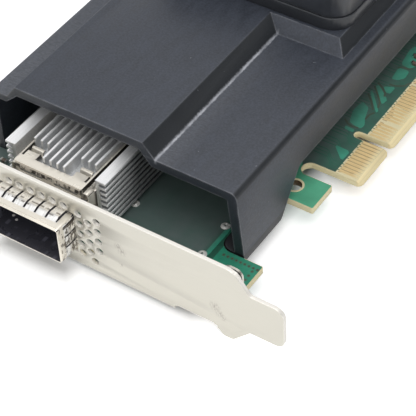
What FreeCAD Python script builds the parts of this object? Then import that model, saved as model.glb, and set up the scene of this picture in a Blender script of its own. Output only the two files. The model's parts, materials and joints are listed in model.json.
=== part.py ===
"""Network adapter card with a full-height slot bracket, a cage port and a fan shroud.

X runs towards the contact edge, Y away from the bracket and Z up from the component side.
The origin is on the bracket's outer face, in line with the contact edge and level with the
board's upper surface. All sizes are millimetres.
"""

import FreeCAD
import Part
import math
import os

Vector = FreeCAD.Vector
UP = Vector(0, 0, 1)

# Circuit board
BOARD_T = 1.57
BOARD_LEFT = -72.6
BOARD_FRONT = 1.2
BOARD_LENGTH = 142.24
BOARD_BACK = BOARD_FRONT + BOARD_LENGTH
TAB_X = -4.85
FRONT_TAB_BACK = 15.28
NOTCH_X = -15.4
NOTCH_R = 2.7
HOLE_TAB_FRONT = 34.2
HOLE_TAB_BACK = 42.25
HOLE_X = -11.7
HOLE_Y = 38.3
HOLE_R = 1.6
SLOT_END_X = -13.2
CORNER_R = 0.4

# Edge contacts: pitch and segment lengths of the standard sixteen-lane edge
CONTACT_START = 45.93
CONTACT_PITCH = 1.0
CONTACT_W = 0.7
CONTACT_T = 0.05
CONTACT_INNER_X = -6.0
CONTACT_OUTER_X = -1.4
FIRST_PINS = 11
ALL_PINS = 82
FIRST_SEGMENT = 11.65
KEY_W = 1.9
SECOND_SEGMENT = 71.65
KEY_END_X = -8.9
END_MARGIN = 1.1
KEY_MARGIN = 0.55
EMPTY_PINS = (17, 31, 48)
BEVEL_RUN = 1.3
BEVEL_DEPTH = 0.45
KEY_START = CONTACT_START + FIRST_SEGMENT
SECOND_START = KEY_START + KEY_W
CONTACT_END = SECOND_START + SECOND_SEGMENT

# Bracket: folded sheet of the standard full-height length and width
SHEET_T = 0.86
BRACKET_LENGTH = 120.02
BRACKET_W = 18.42
BRACKET_TOP = 14.3
BRACKET_BOTTOM = BRACKET_TOP - BRACKET_W
TONGUE_END = 9.4
TONGUE_TOP = 9.4
TONGUE_BOTTOM = -1.0
LOBE_BOTTOM = BRACKET_BOTTOM - 1.2
FOLD_X = TONGUE_END - BRACKET_LENGTH
FOLD_DEPTH = 11.4
FOLD_R = 1.5
FOLD_RUN = 4.0
SCREW_NOTCH_W = 4.42
SCREW_NOTCH_Y = -6.3
SCREW_NOTCH_DEPTH = 6.0
VENT_R = 0.95
VENT_SIDES = 12
VENT_PITCH = 2.77
VENT_STEP_X = 2.25
VENT_FIRST_X = -38.4
VENT_TOP_Z = 10.5
VENT_ROWS = (5, 4, 4)
VENT_ROW_Z = 11.1
VENT_ROW_SHIFT = 0.45
LIGHT_HOLE_X = -35.4
LIGHT_HOLE_Z = -1.5
EAR_W = 8.6
EAR_DEPTH = 10.0
EAR_HOLE_Y = 6.4
EAR_XS = (-11.0, -65.0)
EAR_ROOT = 3.0
RELIEF_W = 0.7
RELIEF_H = 0.8
LUG_T = 0.8
LUG_LEFT = -4.8
LUG_RIGHT = -0.45
LUG_TOP = 13.9
LUG_BOTTOM = 9.6
LUG_R = 1.7

# Port cage, its spring collar and its connector
PORT_X = -49.3
CAGE_W = 18.8
CAGE_H = 9.2
CAGE_T = 0.2
CAGE_R = 0.6
CAGE_FRONT = -5.1
CAGE_BACK = 48.0
WINDOW_W = 14.0
WINDOW_FRONT = 12.0
WINDOW_BACK = 31.0
COLLAR_T = 0.15
COLLAR_FRONT = -4.5
COLLAR_BACK = -0.2
LEAF_FRONT = -3.4
LEAF_CREST = -1.9
LEAF_BACK = 0.7
TOP_LEAF_RISE = 0.58
SIDE_LEAF_RISE = 0.2
LEAF_GAP = 0.5
TOP_LEAVES = 6
TOP_LEAF_PITCH = 2.75
TOP_LEAF_SHIFT = -0.35
SIDE_LEAVES = 3
SIDE_LEAF_PITCH = 2.85
CUTOUT_SIDE_GAP = 0.38
CUTOUT_TOP_GAP = 0.8
CUTOUT_BOTTOM = -0.6
CONNECTOR_FRONT = 37.0
CONNECTOR_W = 16.6
CONNECTOR_TOP = 7.2
CONNECTOR_SLOT = (3.4, 5.2)
CONNECTOR_CHEEK = 0.7
CONNECTOR_LEAD = 0.4
CONNECTOR_WEB = 3.5
CONNECTOR_BACK = CAGE_BACK - CAGE_T - 0.5
CONTACT_STRIP = (0.3, 0.2)
CONNECTOR_PINS = 19
CONNECTOR_PITCH = 0.8

# Riding heatsink and its clip
RIDER_W = 16.0
RIDER_FRONT = 5.0
RIDER_BACK = 33.0
RIDER_BASE_TOP = 10.7
RIDER_TOP = 13.6
RIDER_FINS = 10
RIDER_LONG_FINS = 4
RIDER_PITCH = 1.72
RIDER_FIN_T = 0.5
LONG_FIN_FRONT = 6.95
SHORT_FIN_FRONT = 10.75
PEDESTAL_DROP = 0.2
CLIP_T = 0.35
CLIP_TOP = 12.2
CLIP_W = 17.2
CLIP_FRONT = 4.5
CLIP_BAR = 2.2
CLIP_BACK = 36.0
CLIP_RAIL_W = 0.4
CLIP_RAIL_BOTTOM = 10.9
CLIP_LEG_BOTTOM = 6.8
CLIP_TONGUE_IN = 4.7
CLIP_TONGUE_OUT = 7.7
CLIP_TONGUE_BACK = 10.1
CLIP_CLEAR = 0.08
CLIP_SLOT_XS = (-7.3, 1.5)
CLIP_SLOT_L = 5.9
CLIP_SLOT_H = 0.8
CLIP_SKIRT_GAP = 0.3
CLIP_REAR_BAR = 2.0
CLIP_REAR_LEG = 6.0
CLIP_LEG_W = 2.1

# Main heatsink and the chip under it
ARM_IN = 10.15
ARM_OUT = 12.7
ARM_WALL = 0.9
ARM_FRONT = 7.2
ARM_BACK = 66.0
ARM_TOP = 13.5
ARM_FINS = 9
ARM_PITCH = 1.45
ARM_FIN_T = 0.6
SINK_X0 = -64.0
SINK_X1 = -19.0
SINK_FRONT = 52.0
SINK_BACK = 112.0
SINK_BASE = 3.3
SINK_BASE_TOP = 5.5
SINK_TOP = 14.2
SINK_FINS = 18
SINK_FIN_T = 0.8
CHIP_X = -41.0
CHIP_Y = 86.0
SUBSTRATE = 33.0
SUBSTRATE_T = 1.2
LID = 28.0
LID_TOP = 3.0
SINK_SCREW_DX = 19.0
SINK_SCREW_DY = 22.0

# Shroud
SHROUD_FRONT = 15.5
SHROUD_BACK = 117.0
SHROUD_T = 2.2
FLANGE_T = 1.7
LEFT_WALL_T = 1.9
SHROUD_LEFT = BOARD_LEFT
SHROUD_TOP = 20.0
SHELF_Z = 16.6
FLANGE_X = -67.7
INNER_FLANGE_X = -68.0
INNER_TOP_X = -64.8
TOP_LEFT_X = -65.2
TOP_RIGHT_X = -33.0
CREASE_X = -30.2
SHELF_RIGHT_X = -11.0
WALL_FOOT_X = -9.5
WALL_TONGUE_Z = -1.4
SHELF_R = 1.6
PLATFORM_FRONT = 63.4
PLATFORM_RIGHT = -15.9
PLATFORM_SLOPE = 2.0
DUCT_EDGE_Z = 7.0
DUCT_RAMP_Y = 29.5
HOOK_YS = (26.0, 98.0)
HOOK_W = 8.0
HOOK_REACH = 1.3
HOOK_DROP = 1.3
HOOK_T = 1.2
HOOK_ROOT = 3.0
SEAT_GAP = 0.05
NOTCH_GAP = 0.08
NOTCH_FOOT_TOP = 0.12

# Fan
FAN_X = -40.5
FAN_Y = 89.1
FAN_SIZE = 50.0
FAN_H = 15.0
FAN_R = 5.6
FAN_FLANGE = 3.4
FAN_INSET = 0.15
FAN_GROOVE_H = 0.3
FAN_GROOVE_IN = 0.5
FAN_BORE_R = 23.2
FAN_HOLE_PITCH = 40.0
FAN_HOLE_R = 2.15
FAN_Z = SHROUD_TOP
FAN_TOP = FAN_Z + FAN_H
MOTOR_BASE_R = 12.0
MOTOR_BASE_T = 1.8
STRUTS = 4
STRUT_W = 2.2
TUBE_R = 3.0
SLEEVE_R = 2.2
SHAFT_R = 1.0
RUN_GAP = 0.03
HUB_R = 12.2
HUB_WALL = 1.0
HUB_CHAMFER = 0.6
HUB_BOTTOM = FAN_Z + 3.2
HUB_TOP = FAN_TOP - 0.8
TIP_R = 22.5
BLADES = 7
ROOT_CHORD = 10.5
TIP_CHORD = 17.0
ROOT_PITCH = 52.0
TIP_PITCH = 33.0
BLADE_T = 0.9
BLADE_CAMBER = 1.3
MOTOR_LIFT = 0.3
MOTOR_BASE_TOP = FAN_Z + MOTOR_LIFT + MOTOR_BASE_T
TUBE_TOP = HUB_TOP - 4.2
HUB_ROOF = 1.2
BOSS_R = 2.6
BOSS_H = 2.2
SLEEVE_SINK = 0.8
MOUTH_H = 1.6
MOUTH_FLARE = 0.9
FAN_BOARD_R = 8.6
FAN_BOARD_T = 0.8

# Small components: places and (width, depth, height)
POWER_XS = (-57.0, -47.0, -37.0)
INDUCTOR_Y = 127.0
INDUCTOR_HALF = 3.3
INDUCTOR_CUT = 0.9
INDUCTOR_H = 3.0
REGULATOR_Y = 121.0
REGULATOR = (5.0, 4.0, 0.9)
BULK_XS = (-57.0, -52.0, -42.0, -37.0)
BULK_Y = 136.5
BULK = (3.5, 2.8, 1.9)
CERAMIC = (1.6, 0.8, 0.8)
CERAMIC_STEP = 2.2
MEMORY = (6.0, 5.0, 0.8)
MEMORY_PLACE = (-24.0, 128.0)
CRYSTAL = (3.2, 2.5, 0.7)
CRYSTAL_PLACE = (-24.0, 136.5)
LIGHT = (2.6, 1.6, 1.1)

# Fasteners
M3_R = 1.5
M25_R = 1.2
SCREW_GAP = 0.08
BOARD_HOLE_GAP = 0.3
BRACKET_HEAD = (2.4, 1.6)
SINK_HEAD = (2.3, 1.5)
FAN_HEAD = (2.8, 1.8)
EAR_NUT_R = 2.5
FAN_NUT_R = 3.1
FAN_NUT_H = 2.4
SINK_POST_R = 2.4
SINK_TAP = 1.4


# Shape helpers
def box(x0, x1, y0, y1, z0, z1):
    return Part.makeBox(x1 - x0, y1 - y0, z1 - z0, Vector(x0, y0, z0))


def post(x, y, z0, z1, radius):
    return Part.makeCylinder(radius, z1 - z0, Vector(x, y, z0), UP)


def ring(x, y, z0, z1, outer, inner):
    return post(x, y, z0, z1, outer).cut(post(x, y, z0, z1, inner))


def fused(shapes):
    return shapes[0].multiFuse(shapes[1:]).removeSplitter()


def group(shapes):
    return Part.makeCompound(shapes)


def point_in(plane, u, v, w):
    places = {"xy": (u, v, w), "xz": (u, w, v), "yz": (w, u, v)}
    return Vector(*places[plane])


def corner(before, here, after, radius):
    """Tangent points and middle of the arc that rounds one corner of an outline."""
    to_before = (before - here).normalize()
    to_after = (after - here).normalize()
    half = to_before.getAngle(to_after) / 2
    reach = radius / math.tan(half)
    bisector = (to_before + to_after).normalize()
    centre = here + bisector * (radius / math.sin(half))
    return here + to_before * reach, centre - bisector * radius, here + to_after * reach


def outline(points, plane, level):
    """Closed wire through (u, v) or (u, v, radius) points."""
    corners = [point_in(plane, p[0], p[1], level) for p in points]
    radii = [p[2] if len(p) > 2 else 0 for p in points]
    starts, ends, arcs = [], [], []
    for i, here in enumerate(corners):
        if radii[i] == 0:
            starts.append(here)
            ends.append(here)
            arcs.append(None)
            continue
        first, middle, last = corner(corners[i - 1], here, corners[(i + 1) % len(corners)], radii[i])
        starts.append(first)
        ends.append(last)
        arcs.append(Part.Arc(first, middle, last).toShape())
    edges = []
    for i, arc in enumerate(arcs):
        if arc:
            edges.append(arc)
        following = starts[(i + 1) % len(corners)]
        if (following - ends[i]).Length > 1e-4:
            edges.append(Part.LineSegment(ends[i], following).toShape())
    return Part.Wire(edges)


def prism(points, plane, start, end):
    """Outline drawn in a plane and pushed from one level to another."""
    face = Part.Face(outline(points, plane, start))
    return face.extrude(point_in(plane, 0, 0, end - start))


def rectangle(x0, x1, y0, y1, radius=0):
    return [(x0, y0, radius), (x1, y0, radius), (x1, y1, radius), (x0, y1, radius)]


def many_sided(u, v, radius, sides):
    """Corners of a regular outline, for holes and nuts with flat sides."""
    turns = [k * 2 * math.pi / sides for k in range(sides)]
    return [(u + radius * math.cos(a), v + radius * math.sin(a)) for a in turns]


def pan_screw(x, y, seat, shank_end, head_r, head_h, shank_r):
    """Plain screw on a seat; the head stands away from the shank's end."""
    side = 1 if seat > shank_end else -1
    head_end = seat + side * head_h
    head = post(x, y, min(seat, head_end), max(seat, head_end), head_r)
    shank = post(x, y, min(seat, shank_end), max(seat, shank_end), shank_r)
    return fused([head, shank])


# Circuit board group
def board_outline():
    slot_r = (CONTACT_START - HOLE_TAB_BACK) / 2
    key_r = KEY_W / 2
    return [
        (BOARD_LEFT, BOARD_FRONT, CORNER_R),
        (TAB_X, BOARD_FRONT, CORNER_R),
        (TAB_X, FRONT_TAB_BACK, CORNER_R),
        (NOTCH_X, FRONT_TAB_BACK, NOTCH_R),
        (NOTCH_X, HOLE_TAB_FRONT, NOTCH_R),
        (TAB_X, HOLE_TAB_FRONT, CORNER_R),
        (TAB_X, HOLE_TAB_BACK, CORNER_R),
        (SLOT_END_X, HOLE_TAB_BACK, slot_r),
        (SLOT_END_X, CONTACT_START, slot_r),
        (0, CONTACT_START, 1.0),
        (0, KEY_START, 1.0),
        (KEY_END_X, KEY_START, key_r),
        (KEY_END_X, SECOND_START, key_r),
        (0, SECOND_START, 1.0),
        (0, CONTACT_END, 1.0),
        (TAB_X, CONTACT_END, 1.0),
        (TAB_X, BOARD_BACK, 1.0),
        (BOARD_LEFT, BOARD_BACK, 1.0),
    ]


EYELETS = [(-17.5, 20.8), (-17.2, 11.8), (-37.1, 16.5)]
EYELET_R = 1.1
EYELET_TOP_R = 0.65
EYELET_HOLE_R = 0.28
EYELET_H = 0.45
SINK_SCREWS = [
    (CHIP_X + dx, CHIP_Y + dy)
    for dx in (-SINK_SCREW_DX, SINK_SCREW_DX)
    for dy in (-SINK_SCREW_DY, SINK_SCREW_DY)
]


def circuit_board():
    board = prism(board_outline(), "xy", -BOARD_T, 0)
    span = (CONTACT_START - 1, CONTACT_END + 1)
    upper = [(-BEVEL_RUN, 0), (0.5, 0), (0.5, -BEVEL_DEPTH * 1.4), (0, -BEVEL_DEPTH)]
    lower = [(x, -BOARD_T - z) for x, z in upper]
    tools = [prism(upper, "xz", *span), prism(lower, "xz", *span)]
    holes = [(HOLE_X, HOLE_Y, HOLE_R)]
    holes += [(x, EAR_HOLE_Y, M25_R + BOARD_HOLE_GAP) for x in EAR_XS]
    holes += [(x, y, M25_R + BOARD_HOLE_GAP) for x, y in SINK_SCREWS]
    tools += [post(x, y, -BOARD_T, 0, r) for x, y, r in holes]
    return board.cut(tools)


def contact_y(pin):
    if pin <= FIRST_PINS:
        return CONTACT_START + END_MARGIN + (pin - 1) * CONTACT_PITCH
    return SECOND_START + KEY_MARGIN + (pin - FIRST_PINS - 1) * CONTACT_PITCH


def edge_contacts(bottom, top, empty):
    pads = []
    for pin in range(1, ALL_PINS + 1):
        if pin in empty:
            continue
        y = contact_y(pin)
        pads.append(box(CONTACT_INNER_X, CONTACT_OUTER_X, y - CONTACT_W / 2, y + CONTACT_W / 2, bottom, top))
    return group(pads)


def eyelet(x, y):
    """Low tinned cone with a hole in its middle."""
    cone = Part.makeCone(EYELET_R, EYELET_TOP_R, EYELET_H, Vector(x, y, 0), UP)
    return cone.cut(post(x, y, 0, EYELET_H, EYELET_HOLE_R))


def board_eyelets():
    return group([eyelet(x, y) for x, y in EYELETS])


# Bracket group
def vent_places():
    """Staggered columns of round holes right of the port and one row above it."""
    places = []
    for column, rows in enumerate(VENT_ROWS):
        top = VENT_TOP_Z - (column % 2) * VENT_PITCH / 2
        for row in range(rows):
            places.append((VENT_FIRST_X + column * VENT_STEP_X, top - row * VENT_PITCH))
    for k in range(TOP_LEAVES):
        places.append((PORT_X + VENT_ROW_SHIFT + (k - (TOP_LEAVES - 1) / 2) * VENT_PITCH, VENT_ROW_Z))
    return places + [(LIGHT_HOLE_X, LIGHT_HOLE_Z)]


def bracket_outline():
    ear_end = EAR_XS[0] + EAR_W / 2 + RELIEF_W
    return [
        (FOLD_X + FOLD_RUN, BRACKET_TOP),
        (-1.9, BRACKET_TOP, 3.0),
        (1.9, TONGUE_TOP, 1.2),
        (TONGUE_END, TONGUE_TOP, 2.3),
        (TONGUE_END, TONGUE_BOTTOM, 2.0),
        (1.7, TONGUE_BOTTOM, 0.8),
        (-2.4, LOBE_BOTTOM, 1.2),
        (-4.6, LOBE_BOTTOM, 1.2),
        (ear_end + 0.4, BRACKET_BOTTOM, 0.6),
        (FOLD_X + FOLD_RUN, BRACKET_BOTTOM),
    ]


def folded_end():
    """Upper end of the bracket: the sheet turns outwards and carries the screw notch."""
    far = -FOLD_DEPTH
    section = [
        (FOLD_X, far),
        (FOLD_X, SHEET_T, FOLD_R),
        (FOLD_X + FOLD_RUN, SHEET_T),
        (FOLD_X + FOLD_RUN, 0),
        (FOLD_X + SHEET_T, 0, FOLD_R - SHEET_T),
        (FOLD_X + SHEET_T, far),
    ]
    tab = prism(section, "xy", BRACKET_BOTTOM, BRACKET_TOP)
    half = SCREW_NOTCH_W / 2
    floor = BRACKET_TOP - SCREW_NOTCH_DEPTH
    notch = [
        (SCREW_NOTCH_Y - half, BRACKET_TOP + 1),
        (SCREW_NOTCH_Y - half, floor, half - 0.01),
        (SCREW_NOTCH_Y + half, floor, half - 0.01),
        (SCREW_NOTCH_Y + half, BRACKET_TOP + 1),
    ]
    return tab.cut(prism(notch, "yz", FOLD_X - 1, FOLD_X + 2))


def bracket_ear(x):
    """Ear bent inwards from the lower edge, under the board."""
    section = [
        (0, BRACKET_BOTTOM, FOLD_R),
        (EAR_DEPTH, BRACKET_BOTTOM),
        (EAR_DEPTH, BRACKET_BOTTOM + SHEET_T),
        (SHEET_T, BRACKET_BOTTOM + SHEET_T, FOLD_R - SHEET_T),
        (SHEET_T, BRACKET_BOTTOM + EAR_ROOT),
        (0, BRACKET_BOTTOM + EAR_ROOT),
    ]
    ear = prism(section, "yz", x - EAR_W / 2, x + EAR_W / 2)
    hole = post(x, EAR_HOLE_Y, BRACKET_BOTTOM, BRACKET_BOTTOM + SHEET_T, M25_R + SCREW_GAP)
    return ear.cut(hole)


def shoulder_lug():
    """Doubled sheet behind the shoulder, with one round corner."""
    corners = [
        (LUG_LEFT, LUG_BOTTOM),
        (LUG_LEFT, LUG_TOP, LUG_R),
        (LUG_RIGHT, LUG_TOP, LUG_R),
        (LUG_RIGHT, LUG_BOTTOM),
    ]
    return prism(corners, "xz", SHEET_T / 2, SHEET_T + LUG_T)


def bracket():
    plate = prism(bracket_outline(), "xz", 0, SHEET_T)
    half = CAGE_W / 2 + CUTOUT_SIDE_GAP
    tools = [box(PORT_X - half, PORT_X + half, -1, 2, CUTOUT_BOTTOM, CAGE_H + CUTOUT_TOP_GAP)]
    for x, z in vent_places():
        tools.append(prism(many_sided(x, z, VENT_R, VENT_SIDES), "xz", -1, 2))
    for x in EAR_XS:
        for side in (-1, 1):
            edge = x + side * (EAR_W + RELIEF_W) / 2
            relief = (edge - RELIEF_W / 2, edge + RELIEF_W / 2)
            tools.append(box(*relief, -1, 2, BRACKET_BOTTOM - 1, BRACKET_BOTTOM + RELIEF_H))
        tools.append(box(x - EAR_W / 2, x + EAR_W / 2, -1, 2, BRACKET_BOTTOM - 1, BRACKET_BOTTOM + EAR_ROOT))
    return fused([plate.cut(tools), folded_end(), shoulder_lug()] + [bracket_ear(x) for x in EAR_XS])


def bracket_nuts():
    low = BRACKET_BOTTOM + SHEET_T
    return group([ring(x, EAR_HOLE_Y, low, -BOARD_T, EAR_NUT_R, M25_R + SCREW_GAP) for x in EAR_XS])


def bracket_screws():
    end = BRACKET_BOTTOM + SHEET_T
    return group([pan_screw(x, EAR_HOLE_Y, 0, end, *BRACKET_HEAD, M25_R) for x in EAR_XS])


# Port group
def port_cage():
    half = CAGE_W / 2
    shell = prism(rectangle(PORT_X - half, PORT_X + half, 0, CAGE_H, CAGE_R), "xz", CAGE_FRONT, CAGE_BACK)
    near = half - CAGE_T
    inner = rectangle(PORT_X - near, PORT_X + near, CAGE_T, CAGE_H - CAGE_T, CAGE_R - CAGE_T)
    hollow = prism(inner, "xz", CAGE_FRONT - 1, CAGE_BACK - CAGE_T)
    window = prism(
        rectangle(PORT_X - WINDOW_W / 2, PORT_X + WINDOW_W / 2, WINDOW_FRONT, WINDOW_BACK, 1.0),
        "xy", CAGE_H - 2 * CAGE_T, CAGE_H + 1)
    seat = CONNECTOR_W / 2 + 0.2
    seat_back = CAGE_BACK - CAGE_T - 0.2
    floor_gap = box(PORT_X - seat, PORT_X + seat, CONNECTOR_FRONT - 2, seat_back, -1, 2 * CAGE_T)
    return shell.cut([hollow, window, floor_gap])


def spring_leaf(rise, width):
    """Arched leaf along Y with its foot on the cage; its free end floats under the cut-out's edge."""
    end = rise * 0.45
    section = [
        (LEAF_FRONT, 0),
        (LEAF_CREST, rise, 1.1),
        (LEAF_BACK, end),
        (LEAF_BACK, end + COLLAR_T),
        (LEAF_CREST, rise + COLLAR_T, 1.2),
        (LEAF_FRONT, COLLAR_T),
    ]
    return prism(section, "yz", 0, width)


def spring_collar():
    """Band round the cage mouth with arched contact leaves on its top and sides."""
    half = CAGE_W / 2
    wide, tall = half + COLLAR_T, CAGE_H + COLLAR_T
    outer = rectangle(PORT_X - wide, PORT_X + wide, -COLLAR_T, tall, CAGE_R + COLLAR_T)
    inner = rectangle(PORT_X - half, PORT_X + half, 0, CAGE_H, CAGE_R)
    band = prism(outer, "xz", COLLAR_FRONT, LEAF_FRONT + 0.2)
    band = band.cut(prism(inner, "xz", COLLAR_FRONT - 1, LEAF_FRONT + 1))
    sheet = prism(outer, "xz", COLLAR_FRONT, COLLAR_BACK).cut(prism(inner, "xz", COLLAR_FRONT - 1, 0))
    row = TOP_LEAVES * TOP_LEAF_PITCH / 2
    low = CAGE_H - CAGE_R + LEAF_GAP / 2
    left = box(PORT_X - wide, PORT_X + TOP_LEAF_SHIFT - row, COLLAR_FRONT, 0, low, tall)
    right = box(PORT_X + TOP_LEAF_SHIFT + row, PORT_X + wide, COLLAR_FRONT, 0, low, tall)
    leaves = [sheet.common(left), sheet.common(right)]
    for k in range(TOP_LEAVES):
        leaf = spring_leaf(TOP_LEAF_RISE, TOP_LEAF_PITCH - LEAF_GAP)
        x = PORT_X + TOP_LEAF_SHIFT + (k - TOP_LEAVES / 2) * TOP_LEAF_PITCH + LEAF_GAP / 2
        leaf.translate(Vector(x, 0, CAGE_H))
        leaves.append(leaf)
    span = SIDE_LEAF_PITCH - LEAF_GAP
    for k in range(SIDE_LEAVES):
        z = CAGE_H - CAGE_R - (k + 1) * SIDE_LEAF_PITCH + LEAF_GAP
        for side in (-1, 1):
            leaf = spring_leaf(SIDE_LEAF_RISE, span)
            leaf.rotate(Vector(), Vector(0, 1, 0), side * 90)
            low = z if side < 0 else z + span
            leaf.translate(Vector(PORT_X + side * half, 0, low))
            leaves.append(leaf)
    return fused([band] + leaves)


def port_connector():
    half = CONNECTOR_W / 2
    body = prism(
        rectangle(PORT_X - half, PORT_X + half, 0, CONNECTOR_TOP, 0.4), "xz", CONNECTOR_FRONT, CONNECTOR_BACK)
    mouth = (PORT_X - half + CONNECTOR_CHEEK, PORT_X + half - CONNECTOR_CHEEK)
    low, high = CONNECTOR_SLOT
    slot = box(*mouth, CONNECTOR_FRONT - 1, CAGE_BACK - CONNECTOR_WEB, low, high)
    lead_in = [
        (CONNECTOR_FRONT - 0.1, low - CONNECTOR_LEAD),
        (CONNECTOR_FRONT - 0.1, high + CONNECTOR_LEAD),
        (CONNECTOR_FRONT + 2 * CONNECTOR_LEAD, high),
        (CONNECTOR_FRONT + 2 * CONNECTOR_LEAD, low),
    ]
    return body.cut([slot, prism(lead_in, "yz", *mouth)])


def connector_contacts():
    """Two facing rows of contact strips in the connector slot."""
    strips = []
    width, thick = CONTACT_STRIP
    front, back = CONNECTOR_FRONT + 1, CAGE_BACK - CONNECTOR_WEB
    for k in range(CONNECTOR_PINS):
        x = PORT_X + (k - (CONNECTOR_PINS - 1) / 2) * CONNECTOR_PITCH
        for low in (CONNECTOR_SLOT[0], CONNECTOR_SLOT[1] - thick):
            strips.append(box(x - width / 2, x + width / 2, front, back, low, low + thick))
    return group(strips)


def riding_heatsink():
    half = RIDER_W / 2
    base = box(PORT_X - half, PORT_X + half, RIDER_FRONT, RIDER_BACK, CAGE_H, RIDER_BASE_TOP)
    inset = WINDOW_W / 2 - 0.3
    foot = box(
        PORT_X - inset, PORT_X + inset, WINDOW_FRONT + 0.4, WINDOW_BACK - 0.4,
        CAGE_H - CAGE_T - PEDESTAL_DROP, CAGE_H)
    lead = prism(
        [(WINDOW_FRONT + 0.3, CAGE_H - 1), (WINDOW_FRONT + 1.4, CAGE_H - CAGE_T - PEDESTAL_DROP - 0.001),
         (WINDOW_FRONT + 0.3, CAGE_H - 0.1)],
        "yz", PORT_X - half, PORT_X + half)
    fins = []
    for k in range(RIDER_FINS):
        place = k - (RIDER_FINS - 1) / 2
        x = PORT_X + place * RIDER_PITCH - RIDER_FIN_T / 2
        front = LONG_FIN_FRONT if abs(place) < RIDER_LONG_FINS / 2 else SHORT_FIN_FRONT
        fins.append(box(x, x + RIDER_FIN_T, front, RIDER_BACK, RIDER_BASE_TOP, RIDER_TOP))
    return fused([base, foot.cut(lead)] + fins)


def clip_tongue(side):
    """Pressing tongue: level behind the front bar, then a sharp dip to the heatsink and a lip at its end."""
    start = CLIP_FRONT + CLIP_BAR - 0.2
    touch = RIDER_BASE_TOP + CLIP_CLEAR
    under = CLIP_TOP - CLIP_T
    back = CLIP_TONGUE_BACK
    section = [
        (start, under),
        (back - 1.9, under),
        (back - 1.35, touch, 0.25),
        (back - 0.75, touch, 0.25),
        (back - 0.4, under - 0.1),
        (back, under - 0.1),
        (back, under + 0.2),
        (back - 0.65, under + 0.2, 0.25),
        (back - 0.95, touch + 0.3),
        (back - 1.15, touch + 0.3),
        (back - 1.65, CLIP_TOP, 0.25),
        (start, CLIP_TOP),
    ]
    ends = sorted((PORT_X + side * CLIP_TONGUE_IN, PORT_X + side * CLIP_TONGUE_OUT))
    return prism(section, "yz", *ends)


def clip_leg(side, y0, y1):
    """Leg that bends out over the cage's upper edge and down its side."""
    rail = CLIP_W / 2
    inner = CAGE_W / 2 + CLIP_CLEAR
    outer = inner + CLIP_T
    low = CLIP_RAIL_BOTTOM - CLIP_T
    section = [
        (rail - CLIP_T, CLIP_TOP - 0.5),
        (rail - CLIP_T, low),
        (inner, low, 0.45),
        (inner, CLIP_LEG_BOTTOM),
        (outer, CLIP_LEG_BOTTOM),
        (outer, CLIP_RAIL_BOTTOM, 0.8),
        (rail, CLIP_RAIL_BOTTOM),
        (rail, CLIP_TOP - 0.5),
    ]
    return prism([(PORT_X + side * p[0],) + p[1:] for p in section], "xz", y0, y1)


def heatsink_clip():
    """Folded sheet frame that straddles the cage and presses the riding heatsink down."""
    half = CLIP_W / 2
    rear = CLIP_FRONT + CLIP_BAR
    under = CLIP_TOP - CLIP_T
    frame = prism(rectangle(PORT_X - half, PORT_X + half, CLIP_FRONT, CLIP_BACK, 0.5), "xy", under, CLIP_TOP)
    inside = half - CLIP_RAIL_W
    opening = box(PORT_X - inside, PORT_X + inside, rear, CLIP_BACK - CLIP_REAR_BAR, under - 1, CLIP_TOP + 1)
    skirt_low = CAGE_H + CLIP_SKIRT_GAP
    skirt = box(PORT_X - inside, PORT_X + inside, CLIP_FRONT, CLIP_FRONT + CLIP_T, skirt_low, under)
    slots = []
    for offset in CLIP_SLOT_XS:
        x, low = PORT_X + offset, skirt_low + CLIP_SKIRT_GAP
        slots.append(box(x, x + CLIP_SLOT_L, CLIP_FRONT - 1, CLIP_FRONT + 1, low, low + CLIP_SLOT_H))
    pieces = [frame.cut(opening), skirt.cut(slots), clip_tongue(-1), clip_tongue(1)]
    for side in (-1, 1):
        ends = sorted((PORT_X + side * (half - CLIP_T), PORT_X + side * half))
        pieces.append(box(*ends, CLIP_FRONT + 0.5, CLIP_BACK - 0.5, CLIP_RAIL_BOTTOM, under))
        for start in (CLIP_FRONT + 0.5, CLIP_BACK - CLIP_REAR_LEG):
            pieces.append(clip_leg(side, start, start + CLIP_LEG_W))
    return fused(pieces)


# Cooling group
def heatsink_arm(side):
    """Upright wall beside the cage with level fins on its outer side."""
    def across(near, far, low, high):
        ends = sorted((PORT_X + side * near, PORT_X + side * far))
        return box(*ends, ARM_FRONT, ARM_BACK, low, high)

    lowest = ARM_TOP - (ARM_FINS - 1) * ARM_PITCH - ARM_FIN_T
    pieces = [across(ARM_IN, ARM_IN + ARM_WALL, lowest, ARM_TOP)]
    for k in range(ARM_FINS):
        top = ARM_TOP - k * ARM_PITCH
        pieces.append(across(ARM_IN + ARM_WALL, ARM_OUT, top - ARM_FIN_T, top))
    return pieces


def main_heatsink():
    base = box(SINK_X0, SINK_X1, SINK_FRONT, SINK_BACK, SINK_BASE, SINK_BASE_TOP)
    pieces = [base] + heatsink_arm(-1) + heatsink_arm(1)
    pitch = (SINK_X1 - SINK_X0 - SINK_FIN_T) / (SINK_FINS - 1)
    for k in range(SINK_FINS):
        x = SINK_X0 + k * pitch
        beside_arm = abs(abs(x + SINK_FIN_T / 2 - PORT_X) - (ARM_IN + ARM_OUT) / 2) < 2.2
        front = ARM_BACK if beside_arm else SINK_FRONT
        pieces.append(box(x, x + SINK_FIN_T, front, SINK_BACK, SINK_BASE_TOP, SINK_TOP))
    pieces += [post(x, y, 0, SINK_BASE, SINK_POST_R) for x, y in SINK_SCREWS]
    sink = fused(pieces)
    taps = [post(x, y, -0.1, SINK_BASE + SINK_TAP, M25_R + SCREW_GAP) for x, y in SINK_SCREWS]
    return sink.cut(taps)


def heatsink_screws():
    end = SINK_BASE + SINK_TAP - 0.2
    return group([pan_screw(x, y, -BOARD_T, end, *SINK_HEAD, M25_R) for x, y in SINK_SCREWS])


def square(size, low, high, radius):
    half = size / 2
    corners = rectangle(CHIP_X - half, CHIP_X + half, CHIP_Y - half, CHIP_Y + half, radius)
    return prism(corners, "xy", low, high)


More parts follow.
